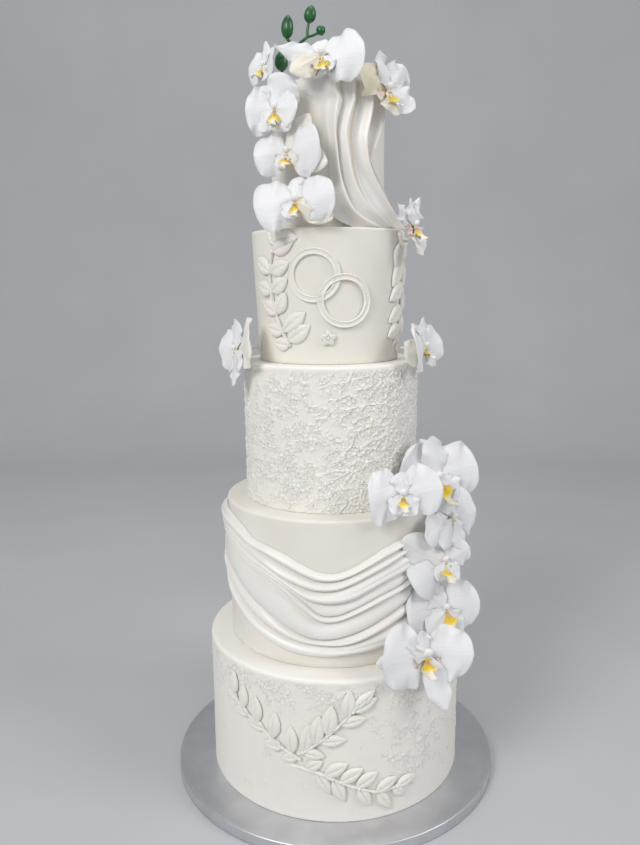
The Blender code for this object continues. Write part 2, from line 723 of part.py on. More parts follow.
def tepal(frame, size, direction, length, half_width, tilt, start, cup, shares):
    """A thin petal with knife edges, in the flower's frame: x right, y up, z out."""
    turn, lean = math.radians(direction), math.radians(tilt)
    along = Vector((math.sin(turn) * math.cos(lean), math.cos(turn) * math.cos(lean), math.sin(lean)))
    across = Vector((math.cos(turn), -math.sin(turn), 0.0))
    out = across.cross(along) * -1
    left, right, front, back = [], [], [], []
    for share, spread in shares:
        middle = along * share * length * size + Vector((0, 0, start * size))
        wide = across * half_width * size * spread
        lifted = out * cup * half_width * size * spread
        half = out * TEPAL_THICKNESS / 2
        left.append(middle - wide + lifted)
        right.append(middle + wide + lifted)
        front.append(middle + half)
        back.append(middle - half)
    tip = along * length * size + Vector((0, 0, start * size))
    count = len(shares)
    points = [frame @ point for point in left + right + front + back + [tip]]
    end = len(points) - 1
    faces = []
    for k in range(count - 1):
        for edge in (0, count):
            a, b = edge + k, edge + k + 1
            faces.append((a, b, 2 * count + k + 1, 2 * count + k))
            faces.append((b, a, 3 * count + k, 3 * count + k + 1))
    last = count - 1
    for edge in (0, count):
        faces.append((edge + last, end, 2 * count + last))
        faces.append((end, edge + last, 3 * count + last))
    faces.append((0, 2 * count, count, 3 * count))
    return make_object("tepal", points, faces)


def rod(name, start, end, radii, sides=4):
    """A solid with round rings of the given radii, evenly spaced from start to end."""
    run = end - start
    turn = run.to_track_quat("Z", "Y").to_matrix()
    points, faces = [], []
    for k, radius in enumerate(radii):
        middle = start + run * k / (len(radii) - 1)
        for i in range(sides):
            angle = 2 * math.pi * i / sides
            points.append(middle + turn @ Vector((radius * math.cos(angle), radius * math.sin(angle), 0)))
    for k in range(len(radii) - 1):
        for i in range(sides):
            j = (i + 1) % sides
            faces.append((sides * k + i, sides * k + j, sides * (k + 1) + j, sides * (k + 1) + i))
    faces.append(tuple(range(sides)))
    faces.append(tuple(range(sides * (len(radii) - 1), sides * len(radii))))
    return make_object(name, points, faces)


DAB_RADIUS, DAB_DEPTH = 0.0050, 0.0035
STALK_RADIUS = 0.0016


def anchor_of(anchor):
    """Where a stalk is stuck, and the direction away from the cake there."""
    kind, tier, angle, place = anchor
    if kind == "side":
        reach = wall_of(tier, place)
        outward = around(tier, angle, 1, 0) - AXES[tier]
        return around(tier, angle, reach + GAP, place), outward
    return around(tier, angle, place, top_of(tier) + GAP), Vector((0, 0, 1))


def make_orchid(name, material):
    heart, facing, size, anchor = ORCHIDS[name]
    centre = around(*heart)
    azimuth, elevation, roll = (math.radians(value) for value in facing)
    out = Vector(
        (
            math.sin(azimuth) * math.cos(elevation),
            -math.cos(azimuth) * math.cos(elevation),
            math.sin(elevation),
        )
    )
    up = (Vector((0, 0, 1)) - out * out.z).normalized()
    up = Matrix.Rotation(-roll, 3, out) @ up
    right = up.cross(out)
    frame = Matrix.Translation(centre) @ Matrix((right, up, out)).transposed().to_4x4()
    pieces = [
        rod(
            "heart",
            frame @ Vector((0, 0, -0.11 * size)),
            frame @ Vector((0, -0.06 * size, 0.24 * size)),
            (0.08 * size, 0.12 * size, 0.06 * size),
            5,
        )
    ]
    for part, shape in TEPALS.items():
        direction, length, half_width, tilt, start, cup, outline = shape
        if (name, part) in TURNED:
            direction, length, half_width, tilt = TURNED[name, part]
        pieces.append(
            tepal(frame, size, direction, length, half_width, tilt, start, cup, outline)
        )
    pieces.append(tepal(frame, size, *LIP))
    foot, away = anchor_of(anchor)
    pieces.append(rod("dab", foot, foot + away * DAB_DEPTH, (DAB_RADIUS, 0.6 * DAB_RADIUS), 6))
    inside = frame @ Vector((0, 0, -0.06 * size))
    pieces.append(rod("stalk", foot + away * 0.5 * DAB_DEPTH, inside, (STALK_RADIUS, STALK_RADIUS)))
    return fuse(name, pieces, material)


# Green buds on one branched stem that rises from the top tier
BUDS = (
    # tip, foot, widest radius
    (Vector((-0.0422, -0.020, 0.7900)), Vector((-0.0435, -0.020, 0.7690)), 0.0060),
    (Vector((-0.0190, -0.020, 0.7985)), Vector((-0.0225, -0.020, 0.7830)), 0.0058),
    (Vector((-0.0070, -0.020, 0.7790)), Vector((-0.0140, -0.020, 0.7735)), 0.0047),
)
BUD_FORK = Vector((-0.0310, -0.020, 0.7600))
BUD_ROOT = (-0.0260, -0.012)
LOW_BUD_ROOT = (-0.0400, -0.022)
LOW_BUD = (Vector((-0.0492, -0.030, 0.7545)), Vector((-0.0485, -0.030, 0.7370)), 0.0066)
BUD_STEM = 0.0014


def bud(tip, foot, widest):
    radii = [share * widest for share in (0.35, 0.85, 1.0, 0.8, 0.3)]
    return rod("bud", foot, tip, radii, 6)


def rooted_stem(root, end):
    """The dab that holds a stem on the top tier, and the stem up to its end."""
    foot = Vector((*root, top_of("tier_5") + GAP))
    up = Vector((0, 0, DAB_DEPTH))
    return [
        rod("dab", foot, foot + up, (DAB_RADIUS, 0.6 * DAB_RADIUS), 6),
        rod("stem", foot + up / 2, end, (BUD_STEM, BUD_STEM)),
    ]


def make_buds(material):
    pieces = rooted_stem(BUD_ROOT, BUD_FORK)
    for tip, foot, widest in BUDS:
        inside = foot.lerp(tip, 0.2)
        fork = BUD_FORK - Vector((0, 0, 0.001))
        pieces += [bud(tip, foot, widest), rod("stem", fork, inside, (BUD_STEM, BUD_STEM))]
    fuse("buds_tall", pieces, material)
    tip, foot, widest = LOW_BUD
    pieces = [bud(tip, foot, widest), *rooted_stem(LOW_BUD_ROOT, foot.lerp(tip, 0.2))]
    fuse("bud_low", pieces, material)


for old in list(bpy.data.objects):
    bpy.data.objects.remove(old, do_unlink=True)

fondant = make_material("fondant", FONDANT, 0.55)
stucco = make_material("stucco", FONDANT, 0.7)
paste = make_material("paste", PASTE, 0.4)
petal = make_material("petal", PETAL, 0.5)
bud_green = make_material("bud_green", BUD_GREEN, 0.3)
foil = make_material("foil", FOIL, 0.35, 1.0)

make_board(foil)
for tier_name in TIERS:
    make_tier(tier_name, stucco if tier_name in STUCCO else fondant)
make_swag(paste)
make_drape(paste)
for spray_name in SPRAYS:
    make_spray(spray_name, paste)
make_rings(paste)
make_blossom(paste)
for orchid_name in ORCHIDS:
    make_orchid(orchid_name, petal)
make_buds(bud_green)
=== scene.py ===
# %% [markdown]
# # A five-tier wedding cake, finished piece by piece
# The solid model gives every tier, swag, spray and flower its place and size.
# This lesson dresses those solids as a sugarcraft maker would: tiers first, then
# the draped paste, the low relief, the orchids, and last the light and camera.
# Everything is in metres, the cake's front faces -Y, and angles round a tier are
# in degrees from the front, positive towards +X.

import itertools
import math

import bmesh
import bpy
import numpy as np
from mathutils import Matrix, Vector


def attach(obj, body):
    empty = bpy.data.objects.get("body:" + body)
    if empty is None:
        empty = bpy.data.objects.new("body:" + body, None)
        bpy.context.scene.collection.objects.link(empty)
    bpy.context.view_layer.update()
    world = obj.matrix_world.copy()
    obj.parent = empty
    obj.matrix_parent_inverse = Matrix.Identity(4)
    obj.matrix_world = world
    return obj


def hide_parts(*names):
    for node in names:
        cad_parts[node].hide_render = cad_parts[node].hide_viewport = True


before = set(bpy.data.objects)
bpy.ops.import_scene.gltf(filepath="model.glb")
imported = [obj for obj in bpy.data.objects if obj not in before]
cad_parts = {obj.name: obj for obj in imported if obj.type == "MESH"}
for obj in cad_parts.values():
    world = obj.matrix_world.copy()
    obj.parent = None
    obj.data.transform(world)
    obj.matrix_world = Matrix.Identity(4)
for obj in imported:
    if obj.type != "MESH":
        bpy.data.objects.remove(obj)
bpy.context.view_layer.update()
MM = 0.001
print("solid nodes:", len(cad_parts))

# %% [markdown]
# ## Colours and shader nodes
# Sugar colours are read as sRGB hex values, but Blender mixes light in linear
# values, so one function converts them. One more adds a node of any kind with its
# settings and its links, which keeps each material short enough to read as a recipe.
# Sizes of grain and patches are given in millimetres, as they would be measured.


# %% Colour and node helpers
def tint(text):
    """The linear colour of an sRGB hex value."""
    parts = [int(text[k : k + 2], 16) / 255 for k in (1, 3, 5)]
    linear = [p / 12.92 if p <= 0.04045 else ((p + 0.055) / 1.055) ** 2.4 for p in parts]
    return (*linear, 1.0)


def add_node(tree, kind, inputs=None, stops=(), **settings):
    """A node with its settings; each input takes a value or the socket that feeds it."""
    made = tree.nodes.new(kind)
    for name, value in settings.items():
        setattr(made, name, value)
    for key, value in (inputs or {}).items():
        if isinstance(value, bpy.types.NodeSocket):
            tree.links.new(value, made.inputs[key])
        else:
            made.inputs[key].default_value = value
    for k, (place, colour) in enumerate(stops):
        elements = made.color_ramp.elements
        stop = elements[k] if k < len(elements) else elements.new(place)
        stop.position, stop.color = place, tint(colour)
    return made


def start_material(name, **sockets):
    """A material, its node tree, its shader and the place on the cake in metres."""
    material = bpy.data.materials.new(name)
    material.use_nodes = True
    tree = material.node_tree
    shader = tree.nodes["Principled BSDF"]
    for key, value in sockets.items():
        shader.inputs[key.replace("_", " ")].default_value = value
    place = add_node(tree, "ShaderNodeTexCoord").outputs["Object"]
    return material, tree, shader, place


def roughen(tree, shader, place, grain, height, detail=3.0):
    """Bump from noise with a grain size and a height in millimetres."""
    noise = add_node(
        tree, "ShaderNodeTexNoise", {"Vector": place, "Scale": 1 / (grain * MM), "Detail": detail}
    )
    bump = add_node(
        tree, "ShaderNodeBump", {"Height": noise.outputs["Fac"], "Distance": height * MM}
    )
    tree.links.new(bump.outputs["Normal"], shader.inputs["Normal"])


def colour_by(tree, shader, level, stops):
    """Feeds the base colour from a ramp of stops read at a level of 0 to 1."""
    tone = add_node(tree, "ShaderNodeValToRGB", {"Fac": level}, stops=stops)
    tree.links.new(tone.outputs["Color"], shader.inputs["Base Color"])
    return tone.outputs["Color"]


print("white sugar in linear light:", [round(v, 3) for v in tint("#F6F1E6")[:3]])

# %% [markdown]
# ## Sugar paste and royal icing
# Rolled sugar paste covers three tiers. It is smoothed by hand with a flat
# polisher, so it has a soft satin face, and light goes a few millimetres into it:
# subsurface scattering gives that glow. Royal icing is egg white and sugar beaten
# stiff and spread with a palette knife. It dries matt. The mesh marks where the
# icing is torn, for a bump of fine ridges, and how low each point lies, for a
# painted shade: darker and warmer in the hollows, paler on the ridges.


# %% Rolled sugar paste
def sugar_paste():
    """Rolled paste: two close ivory tones in soft patches of about 50 mm."""
    material, tree, shader, place = start_material(
        "rolled_sugar_paste",
        Roughness=0.5,
        IOR=1.45,
        Subsurface_Weight=0.35,
        Subsurface_Radius=(1.0, 0.75, 0.5),
        Subsurface_Scale=3.0 * MM,
    )
    patches = add_node(tree, "ShaderNodeTexNoise", {"Vector": place, "Scale": 1 / (50 * MM)})
    colour_by(tree, shader, patches.outputs["Fac"], ((0.35, "#EBE6DD"), (0.65, "#EFEBE3")))
    roughen(tree, shader, place, 1.2, 0.03)
    return material


fondant = sugar_paste()
print("finish:", fondant.name)


# %% Royal icing
def hollow_shade_level(tree, place, size):
    """The mesh's painted shade in hollows, broken up by noise of a size in millimetres."""
    hollow = add_node(tree, "ShaderNodeAttribute", attribute_name="hollow")
    noise = add_node(tree, "ShaderNodeTexNoise", {"Vector": place, "Scale": 1 / (size * MM)})
    level = add_node(
        tree,
        "ShaderNodeMath",
        {0: noise.outputs["Fac"], 1: 0.2, 2: hollow.outputs["Fac"]},
        operation="MULTIPLY_ADD",
    )
    return level.outputs["Value"]


def royal_icing():
    """Dried royal icing: matt and chalky, with thin torn ridges."""
    material, tree, shader, place = start_material(
        "royal_icing",
        Roughness=0.62,
        IOR=1.45,
        Subsurface_Weight=0.2,
        Subsurface_Radius=(1.0, 0.8, 0.6),
        Subsurface_Scale=1.5 * MM,
    )
    # Painted shade: the icing is drawn darker and warmer in its hollows and paler on its ridges
    level = hollow_shade_level(tree, place, 6.0)
    colour_by(tree, shader, level, ((0.2, "#F7F4EE"), (0.6, "#F2EEE7"), (1.0, "#EBE4D8")))
    # Torn skin finer than the mesh's points: warped cell walls about 4 mm apart
    drift = add_node(
        tree, "ShaderNodeTexNoise", {"Vector": place, "Scale": 1 / (3 * MM), "Detail": 3.0}
    )
    warped = add_node(
        tree,
        "ShaderNodeVectorMath",
        {0: drift.outputs["Color"], 1: (3 * MM,) * 3, 2: place},
        operation="MULTIPLY_ADD",
    )
    cells = add_node(
        tree,
        "ShaderNodeTexVoronoi",
        {"Vector": warped.outputs["Vector"], "Scale": 1 / (4.2 * MM)},
        feature="DISTANCE_TO_EDGE",
    )
    ridge = add_node(
        tree,
        "ShaderNodeMapRange",
        {"Value": cells.outputs["Distance"], "From Min": 0.1, "From Max": 0.0},
        interpolation_type="SMOOTHSTEP",
    )
    torn = add_node(tree, "ShaderNodeAttribute", attribute_name="torn")
    raised = add_node(
        tree,
        "ShaderNodeMath",
        {0: ridge.outputs["Result"], 1: torn.outputs["Fac"]},
        operation="MULTIPLY",
    )
    bump = add_node(
        tree, "ShaderNodeBump", {"Height": raised.outputs["Value"], "Distance": 0.4 * MM}
    )
    tree.links.new(bump.outputs["Normal"], shader.inputs["Normal"])
    return material


icing = royal_icing()
print("finish:", icing.name)


# %% Pearl paste
def pearl_paste(name, roughness, coat, stops):
    """Modelling paste brushed with pearl dust, fine mica that widens the highlight."""
    material, tree, shader, place = start_material(
        name,
        Roughness=roughness,
        IOR=1.5,
        Coat_Weight=coat,
        Coat_Roughness=0.35,
        Subsurface_Weight=0.3,
        Subsurface_Radius=(1.0, 0.8, 0.6),
        Subsurface_Scale=2.0 * MM,
    )
    # Painted shade: a beige tone in the creases and hollows that the mesh marks
    colour_by(tree, shader, hollow_shade_level(tree, place, 9.0), stops)
    roughen(tree, shader, place, 0.8, 0.02)
    return material


# The last stop of each ramp is the painted shade of the creases and hollows
drape_paste = pearl_paste(
    "pearl_drape_paste", 0.34, 0.15, ((0.15, "#F0EEEA"), (0.6, "#ECE8E1"), (1.0, "#DFD3BD"))
)
moulded_paste = pearl_paste(
    "pearl_moulded_paste", 0.5, 0.03, ((0.1, "#F1EDE6"), (0.6, "#EEE9E2"), (1.0, "#E7E1D6"))
)
print("finishes:", drape_paste.name, moulded_paste.name)

# %% [markdown]
# ## Petals, lips and buds
# Orchid petals are gum paste rolled thinner than a millimetre, so light passes
# through them, and they stay a cool white. The lip is dusted by brush: gold in the
# throat, mauve spots on the side lobes, cream at the tip. The mesh marks where each
# colour goes, as the brush would. The buds are painted green and dipped in
# confectioner's glaze, which leaves a clear hard coat.


# %% Gum paste petals
def gum_petal():
    """Thin white gum paste, creamy at the foot of a petal, with a warm painted shade on the back
    ones.
    """
    material, tree, shader, _ = start_material(
        "gum_paste_petal",
        Roughness=0.48,
        IOR=1.45,
        Subsurface_Weight=0.45,
        Subsurface_Radius=(1.0, 0.95, 1.0),
        Subsurface_Scale=1.5 * MM,
        Sheen_Weight=0.08,
        Sheen_Roughness=0.4,
    )
    cream = add_node(tree, "ShaderNodeAttribute", attribute_name="cream")
    # Cool white to cream: cream is the paste's own tone at a petal's foot and on column, stalk
    # and dab, and painted shade on back petals
    stops = ((0.0, "#EDEDF0"), (0.45, "#EEEAE1"), (1.0, "#EEE4C6"))
    colour_by(tree, shader, cream.outputs["Fac"], stops)
    # The veining tool leaves ribs that run from the foot to the edge
    across = add_node(tree, "ShaderNodeAttribute", attribute_name="vein")
    ribs = add_node(
        tree,
        "ShaderNodeTexNoise",
        {"W": across.outputs["Fac"], "Scale": 9.0, "Detail": 2.0},
        noise_dimensions="1D",
    )
    bump = add_node(
        tree, "ShaderNodeBump", {"Height": ribs.outputs["Fac"], "Distance": 0.26 * MM}
    )
    tree.links.new(bump.outputs["Normal"], shader.inputs["Normal"])
    return material


petal_paste = gum_petal()
print("finish:", petal_paste.name)


# %% The dusted lip
def dusted_lip():
    """A lip brushed with gold and spotted with mauve over cream paste."""
    material, tree, shader, place = start_material(
        "dusted_lip",
        Roughness=0.5,
        IOR=1.45,
        Subsurface_Weight=0.3,
        Subsurface_Radius=(1.0, 0.9, 0.5),
        Subsurface_Scale=1.0 * MM,
    )
    gold = add_node(tree, "ShaderNodeAttribute", attribute_name="gold")
    tone = colour_by(
        tree,
        shader,
        gold.outputs["Fac"],
        ((0.05, "#EEE6D6"), (0.4, "#F1E6A6"), (0.72, "#EFD654"), (1.0, "#E4C23A")),
    )
    mauve = add_node(tree, "ShaderNodeAttribute", attribute_name="mauve")
    # Brushed spots are about 1.6 mm apart
    spots = add_node(tree, "ShaderNodeTexNoise", {"Vector": place, "Scale": 1 / (1.6 * MM)})
    mask = add_node(
        tree,
        "ShaderNodeMapRange",
        {"Value": spots.outputs["Fac"], "From Min": 0.36, "From Max": 0.52},
    )
    share = add_node(
        tree,
        "ShaderNodeMath",
        {0: mask.outputs["Result"], 1: mauve.outputs["Fac"]},
        operation="MULTIPLY",
    )
    mixed = add_node(
        tree,
        "ShaderNodeMix",
        {0: share.outputs["Value"], 6: tone, 7: tint("#A56E80")},
        data_type="RGBA",
    )
    tree.links.new(mixed.outputs[2], shader.inputs["Base Color"])
    roughen(tree, shader, place, 1.0, 0.12)
    return material


lip_paste = dusted_lip()
print("finish:", lip_paste.name)


# %% The glazed buds
def glazed_bud():
    """Painted gum paste under confectioner's glaze: deep green with a soft gloss."""
    material, tree, shader, place = start_material(
        "glazed_bud",
        Roughness=0.4,
        IOR=1.5,
        Coat_Weight=0.35,
        Coat_Roughness=0.15,
        Subsurface_Weight=0.1,
        Subsurface_Radius=(0.3, 1.0, 0.3),
        Subsurface_Scale=1.0 * MM,
    )
    streaks = add_node(tree, "ShaderNodeTexNoise", {"Vector": place, "Scale": 1 / (7 * MM)})
    colour_by(tree, shader, streaks.outputs["Fac"], ((0.3, "#0C4A1C"), (0.7, "#1B6B2C")))
    roughen(tree, shader, place, 2.0, 0.05)
    return material


bud_glaze = glazed_bud()
print("finish:", bud_glaze.name)

# %% [markdown]
# ## Meshes from rings
# Nearly every sugar piece here is a closed body that can be laid out as a row of
# rings: a tier is turned, a petal is a thin sheet with two faces, a stem is a tube.
# So one function joins rings, and another collects such bodies into one mesh, turns
# their faces outwards, marks the sharp edges and puts the piece in the frame.


# %% Mesh helpers
def loft(rings, looped=False):
    """Points and faces that join an array of rings (ring, point, xyz). The ends are
    capped, or joined to each other when looped."""
    index = np.arange(rings.shape[0] * rings.shape[1]).reshape(rings.shape[:2])
    low, high = (index, np.roll(index, -1, 0)) if looped else (index[:-1], index[1:])
    quads = np.stack([low, np.roll(low, -1, 1), np.roll(high, -1, 1), high], -1)
    faces = quads.reshape(-1, 4).tolist()
    if not looped:
        faces += [index[0, ::-1].tolist(), index[-1].tolist()]
    return rings.reshape(-1, 3), faces


def body(rings, finish=0, looped=False, **marks):
    """One closed body for build_piece: its mesh, its finish and its marks."""
    points, faces = loft(rings, looped)
    return points, faces, finish, {name: np.ravel(value) for name, value in marks.items()}


def build_piece(name, node, finishes, bodies, sharp=50.0):
    """One mesh piece from closed bodies, standing for a node of the solid model."""
    points, faces, numbers, marks = [], [], [], {}
    total = sum(len(b[0]) for b in bodies)
    for body_points, body_faces, finish, body_marks in bodies:
        start = sum(len(p) for p in points)
        for mark, values in body_marks.items():
            marks.setdefault(mark, np.zeros(total))[start : start + len(values)] = values
        points.append(body_points)
        faces += [[start + i for i in face] for face in body_faces]
        numbers += [finish] * len(body_faces)
    mesh = bpy.data.meshes.new(name)
    mesh.from_pydata(np.concatenate(points).tolist(), [], faces)
    mesh.polygons.foreach_set("material_index", numbers)
    shape = bmesh.new()
    shape.from_mesh(mesh)
    bmesh.ops.recalc_face_normals(shape, faces=shape.faces)
    shape.to_mesh(mesh)
    shape.free()
    for mark, values in marks.items():
        mesh.attributes.new(mark, "FLOAT", "POINT").data.foreach_set("value", values)
    for finish in finishes:
        mesh.materials.append(finish)
    mesh.shade_smooth()
    mesh.set_sharp_from_angle(angle=math.radians(sharp))
    piece = bpy.data.objects.new(name, mesh)
    bpy.context.scene.collection.objects.link(piece)
    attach(piece, "root")
    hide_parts(node)
    triangles = sum(len(face) - 2 for face in faces)
    print(f"{name}: {triangles} triangles")
    return piece


print("points of a loft of 3 rings of 4:", len(loft(np.zeros((3, 4, 3)))[0]))


# %% Smooth curves and steps
def spline(stations, count):
    """A smooth curve through stations of any dimension, count steps to a span."""
    spots = np.asarray(stations, float)
    spots = np.concatenate([[2 * spots[0] - spots[1]], spots, [2 * spots[-1] - spots[-2]]])
    t = np.arange(count)[:, None] / count
    spans = []
    for a, b, c, d in zip(spots, spots[1:], spots[2:], spots[3:]):
        square, cube = 2 * a - 5 * b + 4 * c - d, 3 * b - a - 3 * c + d
        spans.append(0.5 * (2 * b + (c - a) * t + square * t**2 + cube * t**3))
    return np.concatenate([*spans, spots[-2:-1]])


def ease(low, high, value):
    """0 below low, 1 above high, and smooth between."""
    share = np.clip((value - low) / (high - low), 0, 1)
    return share * share * (3 - 2 * share)


def full_turn(count):
    """Angles in radians once round, without a last one on top of the first."""
    return np.linspace(0, 2 * math.pi, count, endpoint=False)


print("a spline of 3 stations:", len(spline([[0, 0], [1, 1], [2, 0]], 4)), "points")

# %% [markdown]
# ## Even randomness
# Icing torn by a knife has no pattern, yet neighbouring points move together.
# Lattice noise does that: random slopes sit on a grid of a known size, and the
# points between blend them. A fixed seed gives the same cake every time.


# %% Lattice noise
def lattice_noise(points, size, seed):
    """Smooth random values of about -1 to 1 that change over size millimetres."""
    draw = np.random.default_rng(seed)
    order = np.tile(draw.permutation(256), 3)
    slopes = draw.normal(size=(256, 3))
    slopes /= np.linalg.norm(slopes, axis=1, keepdims=True)
    spots = points / (size * MM)
    cell = np.floor(spots).astype(int)
    inside = spots - cell
    fade = inside**3 * (inside * (inside * 6 - 15) + 10)
    cell &= 255
    total = np.zeros(len(points))
    for corner in itertools.product((0, 1), repeat=3):
        key = order[cell[:, 0] + corner[0]]
        key = order[key + cell[:, 1] + corner[1]]
        key = order[key + cell[:, 2] + corner[2]]
        rise = (slopes[key] * (inside - corner)).sum(-1)
        total += rise * np.where(corner, fade, 1 - fade).prod(-1)
    return total * 1.6


print("noise at the origin:", lattice_noise(np.array([[0.001, 0.002, 0.003]]), 5, 1).round(3))

# %% [markdown]
# ## The drum
# The cake stands on a drum: 12 mm board wrapped in embossed foil. A turned
# profile gives the top, a pressed line just inside the rim and the rounded edge.
# The foil is pleated where it is folded over the side, so the side is wrinkled.

# %% Embossed foil and the drum
BOARD_RADIUS, BOARD_HEIGHT = 177.8 * MM, 12 * MM
GAP = 0.3 * MM


def embossed_foil():
    """Aluminium foil with a stamped grain of about 2 mm that scatters the light."""
    material, tree, shader, place = start_material(
        "embossed_foil", Metallic=0.92, Roughness=0.42
    )
    cells = add_node(
        tree, "ShaderNodeTexVoronoi", {"Vector": place, "Scale": 1 / (2.2 * MM)}, feature="F1"
    )
    patches = add_node(tree, "ShaderNodeTexNoise", {"Vector": place, "Scale": 1 / (30 * MM)})
    colour_by(tree, shader, patches.outputs["Fac"], ((0.3, "#CECFD3"), (0.7, "#DADBDF")))
    bump = add_node(
        tree, "ShaderNodeBump", {"Height": cells.outputs["Distance"], "Distance": 0.06 * MM}
    )
    tree.links.new(bump.outputs["Normal"], shader.inputs["Normal"])
    return material


def round_axis(axis, radii, angles, heights):
    """Points at angles in degrees and radii round an upright axis."""
    radii, turn, heights = np.broadcast_arrays(radii, np.radians(angles), heights)
    return np.stack(
        [axis[0] + radii * np.sin(turn), axis[1] - radii * np.cos(turn), heights], -1
    )


DRUM_PROFILE = (
    # distance in from the edge, height, both in millimetres
    (2.0, 0.0), (0.5, 0.2), (0.0, 0.9), (0.0, 3.0), (0.0, 6.0), (0.0, 9.0), (0.1, 10.6),
    (0.5, 11.5), (1.2, 12.0), (2.6, 12.0), (3.1, 11.7), (3.7, 12.0), (20, 12.0), (90, 12.0),
    (170, 12.0),
)
inward, level = np.array(DRUM_PROFILE).T * MM
board_angles = np.arange(0, 360, 1.25)
board_rings = round_axis((0, 0), (BOARD_RADIUS - inward)[:, None], board_angles, level[:, None])
on_edge = ((level > 1 * MM) & (level < 11 * MM)).astype(float)[:, None]
pleats = lattice_noise((board_rings * (1, 1, 0.25)).reshape(-1, 3), 3.2, 21)
pleats = pleats.reshape(board_rings.shape[:2]) * 0.35 * MM * on_edge
outward = board_rings * (1, 1, 0) / np.linalg.norm(board_rings[:, :, :2], axis=2)[..., None]
board_rings += outward * (pleats - 0.15 * MM * on_edge)[..., None]
build_piece("foil_drum", "board", [embossed_foil()], [body(board_rings)])

# %% [markdown]
# ## The tiers
# Each tier is a stack of sponge rounds under a coat of paste or icing. A turned
# outline is enough for the form: a straight wall, a rim rounded by the polisher and
# a flat top. The hand shows in a slow waviness of a quarter of a millimetre.

# %% Tier sizes
TIERS = {
    # foot radius, rim radius, height, rim rounding in millimetres, axis x
    "tier_1": (137.0, 137.0, 150.2, 3.5, 0.0),
    "tier_2": (112.0, 113.5, 150.6, 3.0, -1.5),
    "tier_3": (90.9, 91.7, 144.0, 3.0, -3.0),
    "tier_4": (72.3, 78.5, 129.3, 2.5, -4.5),
    "tier_5": (57.0, 57.0, 136.4, 3.0, -4.5),
}
AXIS_Y = -5.0
FOOT_ROUNDING = 0.6 * MM
RIM_STEPS = 8
TOP_SHARES = np.array([0.97, 0.9, 0.78, 0.6, 0.4, 0.2, 0.03])
WAVES = (
    # height and size of the hand's slow waviness in millimetres, seed
    (0.22, 45.0, 31),
    (0.05, 12.0, 32),
)


def axis_of(tier):
    """Where a tier's upright axis stands on the board."""
    return TIERS[tier][4] * MM, AXIS_Y * MM


def foot_of(tier):
    """The height of a tier's foot: the board and the tiers below, with their gaps."""
    below = itertools.takewhile(lambda name: name != tier, TIERS)
    return BOARD_HEIGHT + GAP + sum(TIERS[name][2] * MM + GAP for name in below)


def top_of(tier):
    return foot_of(tier) + TIERS[tier][2] * MM


def wall_of(tier, height):
    """Radius of a tier's plain side at a height."""
    foot, rim, tall, _, _ = TIERS[tier]
    share = np.clip((height - foot_of(tier)) / (tall * MM), 0, 1)
    return (foot + (rim - foot) * share) * MM


print("tier tops:", {tier: round(top_of(tier), 4) for tier in TIERS})


# %% A tier and the plain ones
def tier_body(tier, angles, wall_rows, marks=None):
    """A tier as rings from the foot up the wall, over the rim and in to the centre."""
    foot, rim, _, rounding, _ = (value * MM for value in TIERS[tier])
    low, high = foot_of(tier), top_of(tier)
    walls = np.linspace(low + FOOT_ROUNDING, high - rounding, wall_rows)
    arc = np.radians(np.linspace(0, 90, RIM_STEPS)[1:])
    inner = rim - rounding
    over, flat_top = inner + rounding * np.cos(arc), np.zeros(len(TOP_SHARES))
    radii = [[foot - FOOT_ROUNDING], wall_of(tier, walls), over, inner * TOP_SHARES]
    heights = [[low], walls, high - rounding + rounding * np.sin(arc), flat_top + high]
    # How far a push outwards counts: all of it on the wall, none on the flat top
    lean = [[0], np.ones(wall_rows), np.cos(arc), flat_top]
    radii, heights, lean = (np.concatenate(part) for part in (radii, heights, lean))
    rings = round_axis(axis_of(tier), radii[:, None], angles, heights[:, None])
    flat = rings.reshape(-1, 3)
    wave = sum(height * lattice_noise(flat, size, seed) for height, size, seed in WAVES)
    # The icing's marks give a painted shade in their hollows and say where it is torn; plain
    # tiers get neither
    hollow = where = np.zeros(len(flat))
    round_about = np.tile(angles, len(radii))
    if marks:
        height, hollow, where = marks(flat, round_about, np.repeat(heights, len(angles)))
        wave = wave + height
    lean = np.repeat(lean, len(angles))
    turn = np.radians(round_about)
    push = np.stack([np.sin(turn) * lean, -np.cos(turn) * lean, 0 * lean], -1)
    moved = (flat + push * (wave * MM)[:, None]).reshape(rings.shape)
    return body(moved, hollow=hollow, torn=where)


for tier in ("tier_2", "tier_4", "tier_5"):
    plain = tier_body(tier, np.arange(0, 360, 1.5), 30)
    build_piece(f"{tier}_paste", tier, [fondant], [plain])

# %% [markdown]
# ## Torn royal icing
# The first and third tiers are coated with icing that a palette knife dabs and
# drags, so thin ridges stand where the skin tore. They make a broken net, like the
# walls between random cells, so the height comes from the distance to such walls,
# bent by noise and left out in patches. The mesh's points are under a millimetre
# apart in front to hold the ridges, and wider apart behind.

# %% Knife marks
LONG_CELLS, LONG_WIDTH, LONG_HEIGHT = 12.0, 0.95, 1.4
SHORT_CELLS, SHORT_WIDTH, SHORT_HEIGHT = 5.6, 0.85, 1.1


def cell_walls(points, size, seed):
    """How far points are from the walls between random cells, 0 on a wall."""
    draw = np.random.default_rng(seed)
    order = np.tile(draw.permutation(256), 3)
    hearts = draw.uniform(size=(256, 3))
    spots = points / (size * MM)
    cell = np.floor(spots).astype(int)
    inside = spots - cell
    near = np.full((2, len(points)), 9.0)
    for corner in itertools.product((-1, 0, 1), repeat=3):
        index = (cell + corner) & 255
        key = order[order[order[index[:, 0]] + index[:, 1]] + index[:, 2]]
        gap = np.linalg.norm(corner + hearts[key] - inside, axis=1)
        near = np.sort(np.stack([near[0], near[1], gap]), 0)[:2]
    return (near[1] - near[0]) * size


def noise_shift(points, size, seed):
    """Lattice noise along all three axes, to bend a pattern with."""
    return np.stack([lattice_noise(points, size, seed + k) for k in range(3)], -1)


